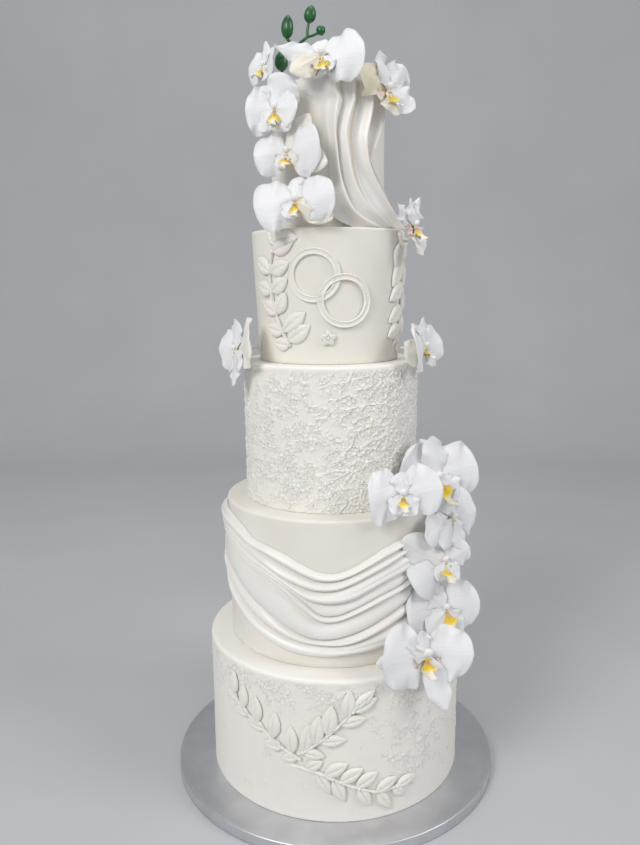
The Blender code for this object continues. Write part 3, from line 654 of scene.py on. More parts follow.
def knife_marks(points, cover, seed):
    """Height of torn icing in millimetres, a painted shade that is deeper where a
    point lies lower, and how torn the icing is there."""
    drift, jag = noise_shift(points, 9.0, seed), noise_shift(points, 2.6, seed + 3)
    torn = points + (drift * 1.7 + jag * 0.6) * MM
    # The knife went mostly sideways, so the long cells are stretched and slanted
    slant = torn * (0.62, 0.62, 1.0)
    slant[:, 2] -= 0.3 * torn[:, 0]
    long_marks = np.exp(-((cell_walls(slant, LONG_CELLS, seed + 6) / LONG_WIDTH) ** 2))
    short_marks = np.exp(-((cell_walls(torn, SHORT_CELLS, seed + 7) / SHORT_WIDTH) ** 2))
    # Marks come in patches, and each net of ridges has gaps of its own
    spread = lattice_noise(points, 13.0, seed + 8) + 0.5 * lattice_noise(points, 5.0, seed + 9)
    where = ease(-0.6, 0.25, spread + cover)
    gaps = lattice_noise(points, 4.0, seed + 10)
    long_marks = long_marks * ease(-0.55, -0.05, gaps + 0.5 * cover)
    gaps = lattice_noise(points, 7.0, seed + 11)
    short_marks = short_marks * ease(-0.1, 0.35, gaps + 0.6 * cover)
    beside = np.maximum(short_marks - long_marks, 0)
    height = where * (LONG_HEIGHT * long_marks + SHORT_HEIGHT * beside)
    height += 0.1 * lattice_noise(points, 3.0, seed + 12)
    # The second value is the painted shade: most in the hollows, none on the highest ridges
    return height, np.clip(0.5 - 0.6 * height, 0, 1), where


def angle_steps(front, behind, edge=95.0):
    """Angles once round a tier, close together in front and wider apart behind."""
    return np.concatenate([np.arange(-edge, edge, front), np.arange(edge, 360 - edge, behind)])


print("steps round the third tier:", len(angle_steps(0.44, 1.5)))

# %% The two iced tiers
def third_tier_marks(points, angles, heights):
    """Marks all over, fewer at the upper left, and none on the rim."""
    share = (heights - foot_of("tier_3")) / (TIERS["tier_3"][2] * MM)
    cover = 0.22 + 0.2 * np.tanh(angles / 40) - 0.2 * ease(0.4, 0.9, share) * (angles < 5)
    height, hollow, where = knife_marks(points, cover, 5)
    rim = 1 - ease(0.945, 0.985, share)
    # Taken in by 0.8 mm, so that the ridges reach the size of the solid tier
    return rim * (height - 0.8) - 0.15 * (1 - rim), hollow * rim, where * rim


def first_tier_marks(points, angles, heights):
    """Marks along the upper edge and in patches at the right, smooth elsewhere."""
    share = (heights - foot_of("tier_1")) / (TIERS["tier_1"][2] * MM)
    upper = ease(0.62, 0.92, share)
    right = ease(8, 32, angles) * ease(0.08, 0.35, share)
    behind = ease(75, 110, np.abs(angles)) * 0.8
    cover = -0.80 + 0.80 * np.maximum(upper, np.maximum(0.85 * right, behind))
    height, hollow, where = knife_marks(points, cover, 11)
    rim = 1 - ease(0.955, 0.985, share)
    return rim * (0.48 * height - 0.35) - 0.1 * (1 - rim), 0.8 * hollow * rim, where * rim


icing_tiers = (
    # tier, front and back steps in degrees, rows up the wall, marks
    ("tier_3", 0.44, 1.5, 163, third_tier_marks),
    ("tier_1", 0.40, 1.3, 142, first_tier_marks),
)
for tier, front, behind, rows, marks in icing_tiers:
    coat = tier_body(tier, angle_steps(front, behind), rows, marks)
    build_piece(f"{tier}_icing", tier, [icing], [coat])

# %% [markdown]
# ## The swag
# A sheet of pearl paste is pleated over two dowels, gathered at the left and at the
# right, and hung on the second tier, so its folds sag lower in the middle. It could
# be simulated as cloth, but this one is set paste with folds laid by hand, so each
# crease is placed: a table gives the height of every crease at stations round the
# tier, and a rounded roll of paste lies between one crease and the next.

# %% Where the swag's creases run
RELIEF_BACK = 0.6 * MM
SWAG_CREASES = (
    # angle, then the heights of nine creases in millimetres from the lower edge up
    (-96, 262.0, 265.0, 269.0, 273.0, 276.0, 280.0, 286.0, 294.0, 307.0),
    (-85, 245.5, 250.0, 256.0, 270.0, 273.5, 278.0, 284.0, 292.0, 305.5),
    (-75, 231.0, 237.5, 248.0, 268.5, 272.0, 276.5, 283.0, 290.0, 304.0),
    (-65, 217.0, 227.0, 241.0, 267.0, 270.5, 275.0, 281.0, 287.0, 302.0),
    (-55, 205.7, 215.7, 231.6, 261.8, 265.8, 269.6, 276.4, 282.4, 297.0),
    (-45, 194.1, 206.0, 221.0, 255.2, 259.0, 262.9, 270.4, 277.5, 287.0),
    (-35, 184.0, 198.0, 211.8, 248.8, 252.6, 256.3, 262.2, 272.7, 282.8),
    (-25, 178.5, 192.0, 202.2, 238.5, 244.0, 246.8, 253.0, 265.4, 277.0),
    (-15, 176.0, 188.4, 195.0, 221.1, 231.4, 235.8, 246.2, 257.4, 267.6),
    (-8, 175.8, 187.2, 193.2, 211.6, 219.5, 232.2, 243.7, 253.5, 262.2),
    (0, 176.7, 186.8, 194.3, 211.3, 218.5, 231.9, 244.6, 253.8, 261.1),
    (8, 178.4, 188.8, 198.3, 216.6, 224.4, 234.7, 250.2, 258.8, 266.4),
    (16, 179.5, 193.2, 204.0, 223.1, 231.3, 242.1, 257.4, 266.3, 274.6),
    (24, 182.0, 198.6, 210.8, 229.0, 237.3, 248.7, 263.9, 273.4, 282.5),
    (32, 185.5, 204.0, 217.8, 233.6, 241.4, 252.6, 270.1, 278.6, 287.2),
    (38, 189.0, 208.5, 223.0, 237.4, 246.2, 256.3, 274.0, 282.0, 290.0),
    (44, 193.0, 213.0, 228.5, 241.5, 250.0, 260.0, 277.5, 285.5, 293.0),
)
SWAG_FOLDS = (
    # crest in millimetres, where the crest lies, and how flat-topped the fold is
    (6.6, 0.42, 0.75), (5.4, 0.45, 0.9), (4.6, 0.36, 0.72), (8.4, 0.52, 1.0),
    (3.6, 0.30, 0.7), (7.2, 0.36, 0.72), (7.4, 0.40, 0.85), (5.8, 0.45, 1.0),
)
SWAG_VALLEY = 0.4
FOLD_STEPS = 13
print("stations along the swag:", len(SWAG_CREASES), "with", len(SWAG_FOLDS), "folds")


# %% Lay the swag's folds
def fold_shape(share, crest, flatness):
    """A roll between two creases: 0 at both, 1 where its crest lies."""
    warped = share ** (math.log(0.5) / math.log(crest))
    return np.sin(np.pi * warped) ** flatness


def side_points(tier, angles, heights, off):
    """Points that stand off a tier's side."""
    return round_axis(axis_of(tier), wall_of(tier, heights) + off, angles, heights)


def swag_body():
    stations = spline(SWAG_CREASES, 16)
    share = np.linspace(0, 1, FOLD_STEPS)[:-1]
    heights, offs, hollow_shades = [], [], []
    along = np.linspace(0, 1, len(stations))
    # The sheet thins out where it is tucked in at both ends
    ends = (ease(-97.0, -90.0, stations[:, 0]) * (1 - ease(39.0, 44.0, stations[:, 0])))[:, None]
    for fold, (crest, place, flatness) in enumerate(SWAG_FOLDS):
        low, high = stations[:, fold + 1, None] * MM, stations[:, fold + 2, None] * MM
        width = (high - low) / MM
        sway = 1 + 0.14 * np.sin(9 * along + 1.9 * fold)[:, None]
        tall = np.minimum(crest * sway, 0.35 + 0.62 * width)
        shape = fold_shape(share, place, flatness)[None, :] + 0 * width
        crease = 0.66 + 0.2 * np.sin(5 * along + 2.6 * fold)[:, None]
        soft = np.exp(-(((share - crease) / 0.075) ** 2)) * ease(5, 9, width)
        shape = shape - 0.26 * soft * (0.5 + 0.5 * np.sin(11 * along + fold)[:, None])
        heights.append(low + (high - low) * share)
        offs.append((SWAG_VALLEY + tall * shape) * MM * ends)
        # Painted shade in the creases between the rolls, none on their crests
        hollow_shades.append(1 - np.maximum(shape, 0) ** 0.5)
    last = stations[:, -1:] * MM
    # The last two columns lie flat on the wall and close the back
    flat = np.zeros((len(stations), 2))
    heights = np.concatenate([*heights, last, last, heights[0][:, :1]], 1)
    offs = np.concatenate([*offs, 0.15 * MM * ends, flat], 1)
    hollow_shades = np.concatenate([*hollow_shades, last * 0, flat], 1)
    rings = side_points("tier_2", stations[:, :1], heights, RELIEF_BACK + offs)
    return body(rings, hollow=0.75 * hollow_shades)


build_piece("pleated_swag", "swag", [drape_paste], [swag_body()], sharp=70)

# %% [markdown]
# ## The drape on the top tier
# A second pleated sheet lies on the top tier, comes over its rim and falls, and its
# folds sweep to the right at the foot. Here the table follows the sheet down: each
# line says how far in or below the rim it is, and the angles of the left edge, the
# three creases and the right edge. The folds are narrow ridges on a nearly flat
# sheet, so the profile between creases is sharper than the swag's.

# %% Where the drape's creases run
DRAPE_LINES = (
    # in from the rim, below the top, angles of left edge, three creases, right edge,
    # then how far the left and right edges stand off the wall, in millimetres
    (26, 0, -30, 10, 27, 42, 62, 0, 0),
    (14, 0, -30, 12, 30, 42, 62, 0, 0),
    (5, 0, -30, 14, 31, 41, 61, 0, 0),
    (1.2, 0.3, -29, 14, 31.7, 40, 60, 0, 0),
    (0, 3, -28.5, 14, 31.7, 40, 60, 0, 0),
    (0, 9, -27.5, 14, 31.7, 43, 62, 0, 0),
    (0, 14, -22, 14, 31.5, 46, 64.5, 0, 0),
    (0, 20, -10, 13.8, 30.9, 47, 64.9, 0, 0),
    (0, 30, -5.4, 10.5, 29.1, 45.7, 63.8, 0, 0),
    (0, 40, -3.4, 8.1, 26.3, 43.6, 59.2, 0, 0),
    (0, 50, -1.8, 7.2, 23.6, 41.9, 53.9, 0, 0),
    (0, 60, -0.9, 8.0, 23.8, 40.4, 47.0, 0, 0),
    (0, 70, -0.6, 9.0, 25.2, 41.9, 42.6, 0, 0),
    (0, 80, -0.2, 10.2, 27.2, 46.1, 46.7, 0, 0),
    (0, 90, 0.2, 11.9, 30.0, 54.4, 55.0, 0, 0.5),
    (0, 100, 0.3, 14.9, 34.1, 62.8, 63.4, 0, 2),
    (0, 110, 0.7, 19.1, 41.6, 70, 70.6, 0, 4),
    (0, 120, 1.4, 25.3, 52.0, 76, 76.6, 1, 7),
    (0, 128, 6.0, 35.0, 62.0, 80, 80.6, 2.5, 10),
    (0, 134, 16.0, 44.0, 69.0, 83, 83.6, 5, 13),
    (0, 135.9, 20.0, 48.0, 72.0, 84, 84.6, 6, 14),
)
DRAPE_FOLDS = (
    # crest in millimetres, where the crest lies, and half the ridge's width
    (7.2, 0.74, 4.6), (7.4, 0.42, 3.4), (7.4, 0.52, 3.4), (6.0, 0.6, 4.4),
)
DRAPE_VALLEY = 1.6
DRAPE_STEPS, BACK_STEPS = 25, 14
print("lines down the drape:", len(DRAPE_LINES), "with", len(DRAPE_FOLDS), "folds")


# %% Lay the drape's folds
def drape_body():
    table = spline(DRAPE_LINES, 7)
    inward, below = table[:, 0, None] * MM, np.maximum(table[:, 1, None], 0) * MM
    steps = np.linspace(0, 1, DRAPE_STEPS)[:-1]
    along = np.linspace(0, 1, len(table))[:, None]
    angles, offs, hollow_shades = [], [], []
    for fold, (crest, place, half) in enumerate(DRAPE_FOLDS):
        left, right = table[:, fold + 2, None], table[:, fold + 3, None]
        wide = np.maximum(right - left, 0) * math.radians(57)
        tall = np.minimum(crest * (1 + 0.12 * np.sin(8 * along + 2.3 * fold)), 0.9 * wide)
        ridge = np.exp(-(((steps - place) * wide / np.minimum(half, 0.3 * wide + 0.1)) ** 2))
        swell = fold_shape(steps, place, 0.8)[None, :]
        angles.append(left + (right - left) * steps)
        flank = np.exp(-(((steps - place) * wide / half - 1.9) ** 2) * 2)
        valley = DRAPE_VALLEY * swell * (1 - 0.7 * flank)
        offs.append((valley + 0.4 + tall * ridge * swell**0.5) * MM)
        # Painted shade on the flanks of each ridge and in the valleys between them
        hollow_shades.append(1.1 * flank + 0.8 * ridge * (1 - ridge) + 0.4 * (1 - swell) ** 4)
    start, edge = table[:, 2:3], table[:, 6:7]
    # The row goes on from the right edge back to the left one, flat on the wall
    behind = np.linspace(edge[:, 0], start[:, 0], BACK_STEPS).T
    angles = np.concatenate([*angles, edge, behind], 1)
    offs = np.concatenate([*offs, np.full_like(edge, 0.4 * MM), 0 * behind], 1)
    hollow_shades = np.concatenate([*hollow_shades, edge * 0, 0 * behind], 1)
    share = (angles - start) / (edge - start)
    # On top the sheet lifts up, on the wall it lifts out, and half and half on the rim
    over = ease(0.0, 3.2 * MM, below)
    stand = (table[:, 7:8] + (table[:, 8:9] - table[:, 7:8]) * share) * MM
    radii = TIERS["tier_5"][1] * MM - inward + over * (RELIEF_BACK + offs + stand)
    radii += (1 - over) * 0.35 * offs * (inward < 2 * MM)
    heights = top_of("tier_5") - below + (1 - over) * (RELIEF_BACK + 0.5 * offs)
    rings = round_axis(axis_of("tier_5"), radii, angles, heights)
    return body(rings, hollow=0.85 * hollow_shades * over)


build_piece("pleated_drape", "drape", [drape_paste], [drape_body()], sharp=70)

# %% [markdown]
# ## Laurel sprays
# Each spray is pressed from a silicone mould and stuck on with a little water: a
# thin stem with a bead at every joint, and domed leaves with a raised rim, a
# pressed midrib and side veins. A leaf is a lens-shaped grid laid along the wall, so
# the table needs only where it leaves the stem, its length, its turn and its width.

# %% Laurel leaves and stems
LEAF_OUTLINE = (
    # share of the length, share of the half width
    (0.0, 0.10), (0.06, 0.34), (0.18, 0.74), (0.34, 0.97), (0.5, 1.0), (0.66, 0.86),
    (0.82, 0.56), (0.93, 0.26), (1.0, 0.02),
)
LEAF_CREST, LEAF_SIZE = 3.3 * MM, 1.07
LEAF_ACROSS = 15
STEM_CREST, STEM_HALF_WIDTH = 2.8 * MM, 1.5 * MM


def on_wall(tier, along, heights, off):
    """Points off a tier's side, from the distance along it and the height."""
    return side_points(tier, np.degrees(along / wall_of(tier, heights)), heights, off)


def leaf_body(tier, base, tip, width, back):
    outline = spline(LEAF_OUTLINE, 3)
    lengths, spread = outline[:, :1], np.maximum(outline[:, 1:], 0.02)
    across = np.sin(np.linspace(-1, 1, LEAF_ACROSS) * math.pi / 2)[None, :]
    run = tip - base
    side = np.array([-run[1], run[0]]) / np.linalg.norm(run)
    dome = (1 - np.abs(across) ** 3.2) * 0.85 + 0.15
    dome = dome + 0.16 * np.exp(-(((np.abs(across) - 0.78) / 0.14) ** 2))
    midrib = 0.52 * np.exp(-((across / 0.13) ** 2)) * (1 - 0.6 * lengths)
    veins = 0.08 * np.sin(26 * lengths - 7 * np.abs(across)) * (1 - across**2)
    lift = LEAF_CREST * (0.35 + 0.65 * spread) * (dome - midrib + veins)
    flat = base + run * lengths[..., None] + side * (across * width / 2 * spread)[..., None]
    front = on_wall(tier, flat[..., 0], flat[..., 1], back + lift)
    few = flat[:, :: -(LEAF_ACROSS // 2)]
    under = on_wall(tier, few[..., 0], few[..., 1], back + 0 * few[..., 0])
    # Painted shade: between the raised rim and the middle, in the midrib groove, and under the
    # leaf's edge
    hollow = 0.75 * (1 - dome) + 1.5 * midrib + 0 * lengths
    return body(
        np.concatenate([front, under], 1),
        hollow=np.concatenate([hollow, np.full(under.shape[:2], 0.8)], 1),
    )


def stem_body(tier, path, back):
    heading = np.gradient(path, axis=0)
    side = np.stack([-heading[:, 1], heading[:, 0]], -1)
    side /= np.linalg.norm(side, axis=1, keepdims=True)
    arc = np.linspace(0, math.pi, 8)
    share = np.linspace(0, 1, len(path))
    taper = (1 - 0.35 * share**2 + 0.14 * np.sin(61 * share))[:, None]
    flat = path[:, None] + side[:, None] * (np.cos(arc) * STEM_HALF_WIDTH * taper)[..., None]
    off = back + STEM_CREST * np.sin(arc) * taper
    # A light, even painted shade on the stem
    return body(on_wall(tier, flat[..., 0], flat[..., 1], off), hollow=0.25 + 0 * off)


def bead_body(tier, spot, radius, back):
    """A small flattened bead of paste pressed on the wall."""
    rise = np.radians([0, 22, 45, 68, 86])[:, None]
    turn = full_turn(12)[None, :]
    along = spot[0] + radius * np.cos(rise) * np.cos(turn)
    heights = spot[1] + radius * np.cos(rise) * np.sin(turn)
    off = back + 1.25 * radius * np.sin(rise) + 0 * turn
    # A faint, even painted shade on the bead
    return body(on_wall(tier, along, heights, off), hollow=0.1 + 0 * off)


print("points on a leaf outline:", len(spline(LEAF_OUTLINE, 3)))

# %% Laurel table
SPRAYS = {
    # tier; stem as (angle, height in mm); leaves as (share of the stem, side,
    # length, turn off the stem in degrees, width), +1 being the stem's left
    "spray_low_left": (
        "tier_1",
        ((-15.5, 79), (-25.1, 90.3), (-34, 104.5), (-43.3, 114.8), (-50.4, 128.7)),
        (
            (0.10, -1, 27, 62, 13.4), (0.33, -1, 27, 62, 13.4), (0.54, -1, 26, 62, 12.8),
            (0.75, -1, 25, 58, 11.5), (0.94, -1, 24, 46, 10.9), (0.20, 1, 21, 26, 12.2),
            (0.44, 1, 21, 22, 11.5), (0.66, 1, 21, 22, 10.9), (0.87, 1, 16, 24, 9.6),
            (0.03, 1, 17, 36, 10.5),
        ),
    ),
    "spray_low_right": (
        "tier_1",
        ((-16.5, 85), (-13, 89.6), (-5.2, 105.1), (2.4, 123), (6.5, 134)),
        (
            (0.20, 1, 28, 48, 13.4), (0.36, 1, 30, 42, 14.1), (0.52, 1, 30, 40, 14.7),
            (0.80, 1, 26, 38, 12.8), (0.98, 1, 25, -6, 11.5), (0.93, -1, 25, 22, 12.2),
            (0.68, -1, 24, 34, 12.2), (0.42, -1, 24, 34, 12.2), (0.16, -1, 20, 36, 11.5),
        ),
    ),
    "spray_low_sweep": (
        "tier_1",
        ((-19.5, 72.5), (-9, 67.2), (-0.5, 58.3), (8.1, 49.4), (17, 42), (24.8, 44)),
        (
            (0.11, 1, 18, 40, 11.5), (0.27, 1, 24, 52, 13.4), (0.42, 1, 24, 54, 13.4),
            (0.57, 1, 24, 54, 13.4), (0.76, 1, 23, 42, 12.2), (0.99, 1, 21, 6, 10.9),
            (0.20, -1, 25, 42, 12.2), (0.36, -1, 25, 42, 12.8), (0.60, -1, 22, 40, 12.2),
            (0.78, -1, 24, 48, 11.5), (0.95, -1, 16, 52, 10.2),
        ),
    ),
    "spray_upper_left": (
        "tier_4",
        (
            (-31.9, 476.6), (-38, 491), (-43.5, 507.5), (-47.5, 530), (-46.8, 552),
            (-42, 571), (-36, 582),
        ),
        (
            (0.04, -1, 26.5, 86, 16), (0.15, -1, 29, 80, 16), (0.32, -1, 23, 49, 14.5),
            (0.48, -1, 23, 66, 15), (0.62, -1, 24, 66, 15), (0.78, -1, 24, 50, 14.5),
            (0.93, -1, 20, 50, 14), (0.0, 1, 19, 56, 13), (0.14, 1, 23, 48, 14),
            (0.32, 1, 24, 38, 14.5), (0.48, 1, 24, 62, 15), (0.62, 1, 26, 62, 15),
            (0.84, 1, 18, 48, 13),
        ),
    ),
    "spray_upper_right": (
        "tier_4",
        ((58, 583), (65, 568), (71, 545), (72.5, 518), (70, 497), (59, 474)),
        (
            (0.12, -1, 28, 46, 16.5), (0.30, -1, 31, 56, 17), (0.48, -1, 31, 62, 17),
            (0.66, -1, 30, 56, 16.5), (0.84, -1, 24, 36, 15), (0.16, 1, 25, 40, 15),
            (0.36, 1, 25, 46, 15), (0.55, 1, 25, 50, 15), (0.74, 1, 23, 50, 14),
        ),
    ),
}


def spray_bodies(tier, stations, leaves):
    angles, heights = np.array(stations, float).T
    heights = heights * MM
    flat = np.stack([np.radians(angles) * wall_of(tier, heights), heights], -1)
    path = spline(flat, 8)
    bodies = [stem_body(tier, path, RELIEF_BACK + 0.7 * MM)]
    for k, (share, side, length, turn, width) in enumerate(leaves):
        place = share * (len(path) - 1)
        start = min(int(place), len(path) - 2)
        step = path[start + 1] - path[start]
        base = path[start] + step * (place - start)
        cosine, sine = math.cos(math.radians(side * turn)), math.sin(math.radians(side * turn))
        heading = np.array([[cosine, -sine], [sine, cosine]]) @ (step / np.linalg.norm(step))
        back = RELIEF_BACK + (k % 3) * 0.2 * MM
        tip = base + heading * length * LEAF_SIZE * MM
        bodies.append(leaf_body(tier, base, tip, width * LEAF_SIZE * MM, back))
        bodies.append(bead_body(tier, base, (1.5 + 0.3 * (k % 3)) * MM, back + 0.9 * MM))
    return bodies


for name, spray in SPRAYS.items():
    build_piece(f"{name}_laurel", name, [moulded_paste], spray_bodies(*spray))

# %% [markdown]
# ## Rings and a blossom
# Two interlocked rings stand on the fourth tier with a small blossom below them.
# They are cut from a thin sheet with a ring cutter and edged with a fine piped
# line, so the face lies a little lower than both edges.

# %% Rings and blossom
RING_RADIUS, RING_HALF_WIDTH = 22.5 * MM, 3.2 * MM
RING_STEPS = 120
RING_CENTRES = ((-15.5, 543.0), (13.5, 519.0))
RING_PROFILE = (
    # share of the half width from inside to outside, thickness in millimetres
    (-1.0, 0.0), (-1.0, 1.4), (-0.9, 2.1), (-0.72, 2.35), (-0.55, 2.0), (-0.42, 1.35),
    (-0.2, 1.2), (0.2, 1.2), (0.42, 1.35), (0.55, 2.0), (0.72, 2.35), (0.9, 2.1), (1.0, 1.4),
    (1.0, 0.0),
)
BLOSSOM_CENTRE = np.array([-2.0, 483.5]) * MM
BLOSSOM_RADIUS = 8.0 * MM


def ring_body(centre, back):
    turn = full_turn(RING_STEPS)[:, None]
    share, thick = np.array(RING_PROFILE).T
    reach = RING_RADIUS + RING_HALF_WIDTH * share[None, :]
    along = centre[0] * MM + reach * np.cos(turn)
    heights = centre[1] * MM + reach * np.sin(turn)
    off = back + thick[None, :] * MM + 0 * turn
    # Painted shade: darker at the ring's foot and in its lowered face, paler on the piped edges
    hollow = (0.5 - 0.25 * thick)[None, :] + 0 * turn
    return body(on_wall("tier_4", along, heights, off), looped=True, hollow=np.clip(hollow, 0, 1))


def blossom_bodies():
    bodies = []
    for k in range(5):
        turn = 2 * math.pi * k / 5
        heading = np.array([math.sin(turn), math.cos(turn)])
        tip = BLOSSOM_CENTRE + heading * BLOSSOM_RADIUS
        back = RELIEF_BACK + (k % 2) * 0.15 * MM
        bodies.append(leaf_body("tier_4", BLOSSOM_CENTRE, tip, 6.6 * MM, back))
    return [*bodies, bead_body("tier_4", BLOSSOM_CENTRE, 1.7 * MM, RELIEF_BACK + 1.6 * MM)]


ring_bodies = [ring_body(c, RELIEF_BACK + k * 0.6 * MM) for k, c in enumerate(RING_CENTRES)]
build_piece("edged_rings", "rings", [moulded_paste], ring_bodies)
build_piece("pressed_blossom", "blossom", [moulded_paste], blossom_bodies())

# %% [markdown]
# ## Moth orchids
# A moth orchid has two round petals, three narrower sepals behind them, and a lip
# of three lobes under a small white column. Each petal is wired gum paste, thinned
# and frilled at the edge with a ball tool, creased down the middle and dried over
# a foam pad. So each one here is a thin sheet with two faces: an outline, a cup, a
# crease and a ruffle, with a little chance in each so that no two are alike.

# %% Orchid outlines
PETAL_OUTLINE = (
    # share of the length, share of the half width
    (0.0, 0.12), (0.04, 0.32), (0.12, 0.68), (0.25, 0.92), (0.40, 1.0), (0.58, 1.0),
    (0.75, 0.91), (0.88, 0.69), (0.96, 0.42), (1.0, 0.02),
)
SEPAL_OUTLINE = (
    (0.0, 0.22), (0.10, 0.40), (0.24, 0.74), (0.42, 0.98), (0.58, 1.0), (0.75, 0.82),
    (0.89, 0.50), (0.97, 0.22), (1.0, 0.02),
)
POINTED_OUTLINE = (
    (0.0, 0.25), (0.12, 0.50), (0.28, 0.86), (0.44, 1.0), (0.60, 0.88), (0.76, 0.58),
    (0.90, 0.26), (0.97, 0.12), (1.0, 0.02),
)
LOBE_OUTLINE = (
    (0.0, 0.55), (0.15, 0.74), (0.35, 0.94), (0.55, 1.0), (0.75, 0.88), (0.90, 0.60),
    (0.97, 0.34), (1.0, 0.05),
)
LIP_OUTLINE = (
    (0.0, 0.30), (0.18, 0.46), (0.34, 0.80), (0.48, 1.0), (0.62, 0.84), (0.75, 0.50),
    (0.86, 0.50), (0.94, 0.62), (1.0, 0.20),
)
PETAL_ACROSS = 17
print("points across a petal:", PETAL_ACROSS, "and along it:", len(spline(PETAL_OUTLINE, 4)))


# %% A petal from its outline
def tilt_axes(direction, tilt):
    """Along, across and out for a part of a flower, seen from its front: direction
    is clockwise from up and tilt is forwards, both in degrees."""
    turn, lean = math.radians(direction), math.radians(tilt)
    along = np.array(
        [math.sin(turn) * math.cos(lean), math.cos(turn) * math.cos(lean), math.sin(lean)]
    )
    across = np.array([math.cos(turn), -math.sin(turn), 0.0])
    return along, across, -np.cross(across, along)


def two_faced(front, back):
    """Rows that run across a sheet's front and return along its back."""
    return np.concatenate([front, back[:, -2:0:-1]], 1)


def on_cake(pose, points):
    """Points in a flower's own axes, moved to where it is on the cake."""
    return points @ pose[:3, :3].T + pose[:3, 3]


def sheet_body(pose, size, outline, shape, draw, style, cream=0.0):
    """A thin sheet of a flower; style holds how it is bent, frilled and creased."""
    direction, length, half_width, tilt, start, cup = shape
    bend, ruffle, crease, thick = style
    along, across, out = tilt_axes(direction, tilt)
    table = spline(outline, 4)
    lengths, spread = np.clip(table[:, :1], 0, 1), np.maximum(table[:, 1:], 0.015)
    phase = draw.uniform(0, 2 * math.pi, 6)
    # The outline swells and narrows a little, more on one side than on the other
    spread = spread * (1 + 0.05 * np.sin(5 * lengths + phase[0]))
    u = np.sin(np.linspace(-1, 1, PETAL_ACROSS) * math.pi / 2)[None, :]
    uneven = 1 + 0.06 * np.sin(7 * lengths + phase[1] + 2 * np.sign(u))
    wide = u * spread * half_width * uneven
    # Cupped and bent back, frilled at the edge, wavy, creased and ribbed at the foot
    lift = cup * half_width * spread * u**2 + bend * lengths**2
    waves = np.sin(13 * lengths + phase[2] + 1.3 * u) + 0.5 * np.sin(23 * lengths + phase[5] * u)
    lift = lift + ruffle * np.abs(u) ** 3 * spread * waves
    lift = lift + 0.5 * ruffle * np.sin(4.2 * lengths + phase[3] + 1.9 * u) * spread
    lift = lift - crease * np.exp(-((u / 0.09) ** 2)) * (1 - 0.7 * lengths) * spread
    fans = np.sin(phase[4] + 9 * u) * np.exp(-((lengths - 0.35) ** 2) / 0.06)
    lift = lift + 0.22 * ruffle * fans * (1 - u**2)
    middle = lengths[..., None] * along * length + wide[..., None] * across
    front = (middle + (lift + start)[..., None] * out) * size
    depth = thick * MM * np.sqrt(np.maximum(1 - u**2, 0)) * np.minimum(1, 4 * spread)
    rings = two_faced(front, front - depth[..., None] * out)
    rings = on_cake(pose, rings.reshape(-1, 3)).reshape(rings.shape)
    # Creamier at the foot, with the warm painted shade of a back petal added; the second mark
    # runs across, for the veins
    foot = np.exp(-((lengths / 0.09) ** 2)) + 0 * u
    tones = [np.clip(cream + 0.6 * foot, 0, 1), u + 3 + phase[5] + 0 * lengths]
    return rings, [two_faced(tone, tone) for tone in tones], lengths, u


def tepal_body(*args, **settings):
    rings, tones, _, _ = sheet_body(*args, **settings)
    return body(rings, cream=tones[0], vein=tones[1])


def lobe_body(pose, size, outline, shape, draw, style, paint, mauve):
    """A lobe of the lip; paint gives the gold and mauve at a share of its length and
    of its half width."""
    rings, _, lengths, u = sheet_body(pose, size, outline, shape, draw, style)
    gold, spots = paint(lengths, np.abs(u))
    tones = [np.clip(tone, 0, 1) + 0 * u for tone in (gold, mauve * spots)]
    gold, spots = (two_faced(tone, tone) for tone in tones)
    return body(rings, 1, gold=gold, mauve=spots)


def tube_body(path, radii, sides=12, finish=0, **marks):
    """A round tube along a path of points, with a radius for each."""
    path = np.asarray(path, float)
    heading = np.gradient(path, axis=0)
    heading /= np.linalg.norm(heading, axis=1, keepdims=True)
    first = np.cross(heading, np.array([0.31, 0.17, 0.93]))
    first /= np.linalg.norm(first, axis=1, keepdims=True)
    second = np.cross(heading, first)
    turn = full_turn(sides)[None, :, None]
    spokes = np.cos(turn) * first[:, None] + np.sin(turn) * second[:, None]
    rings = path[:, None] + spokes * np.asarray(radii, float)[:, None, None]
    filled = {name: np.full(rings.shape[:2], value) for name, value in marks.items()}
    return body(rings, finish, **filled)


print("a petal that points up, along its length:", tilt_axes(0, 0)[0])

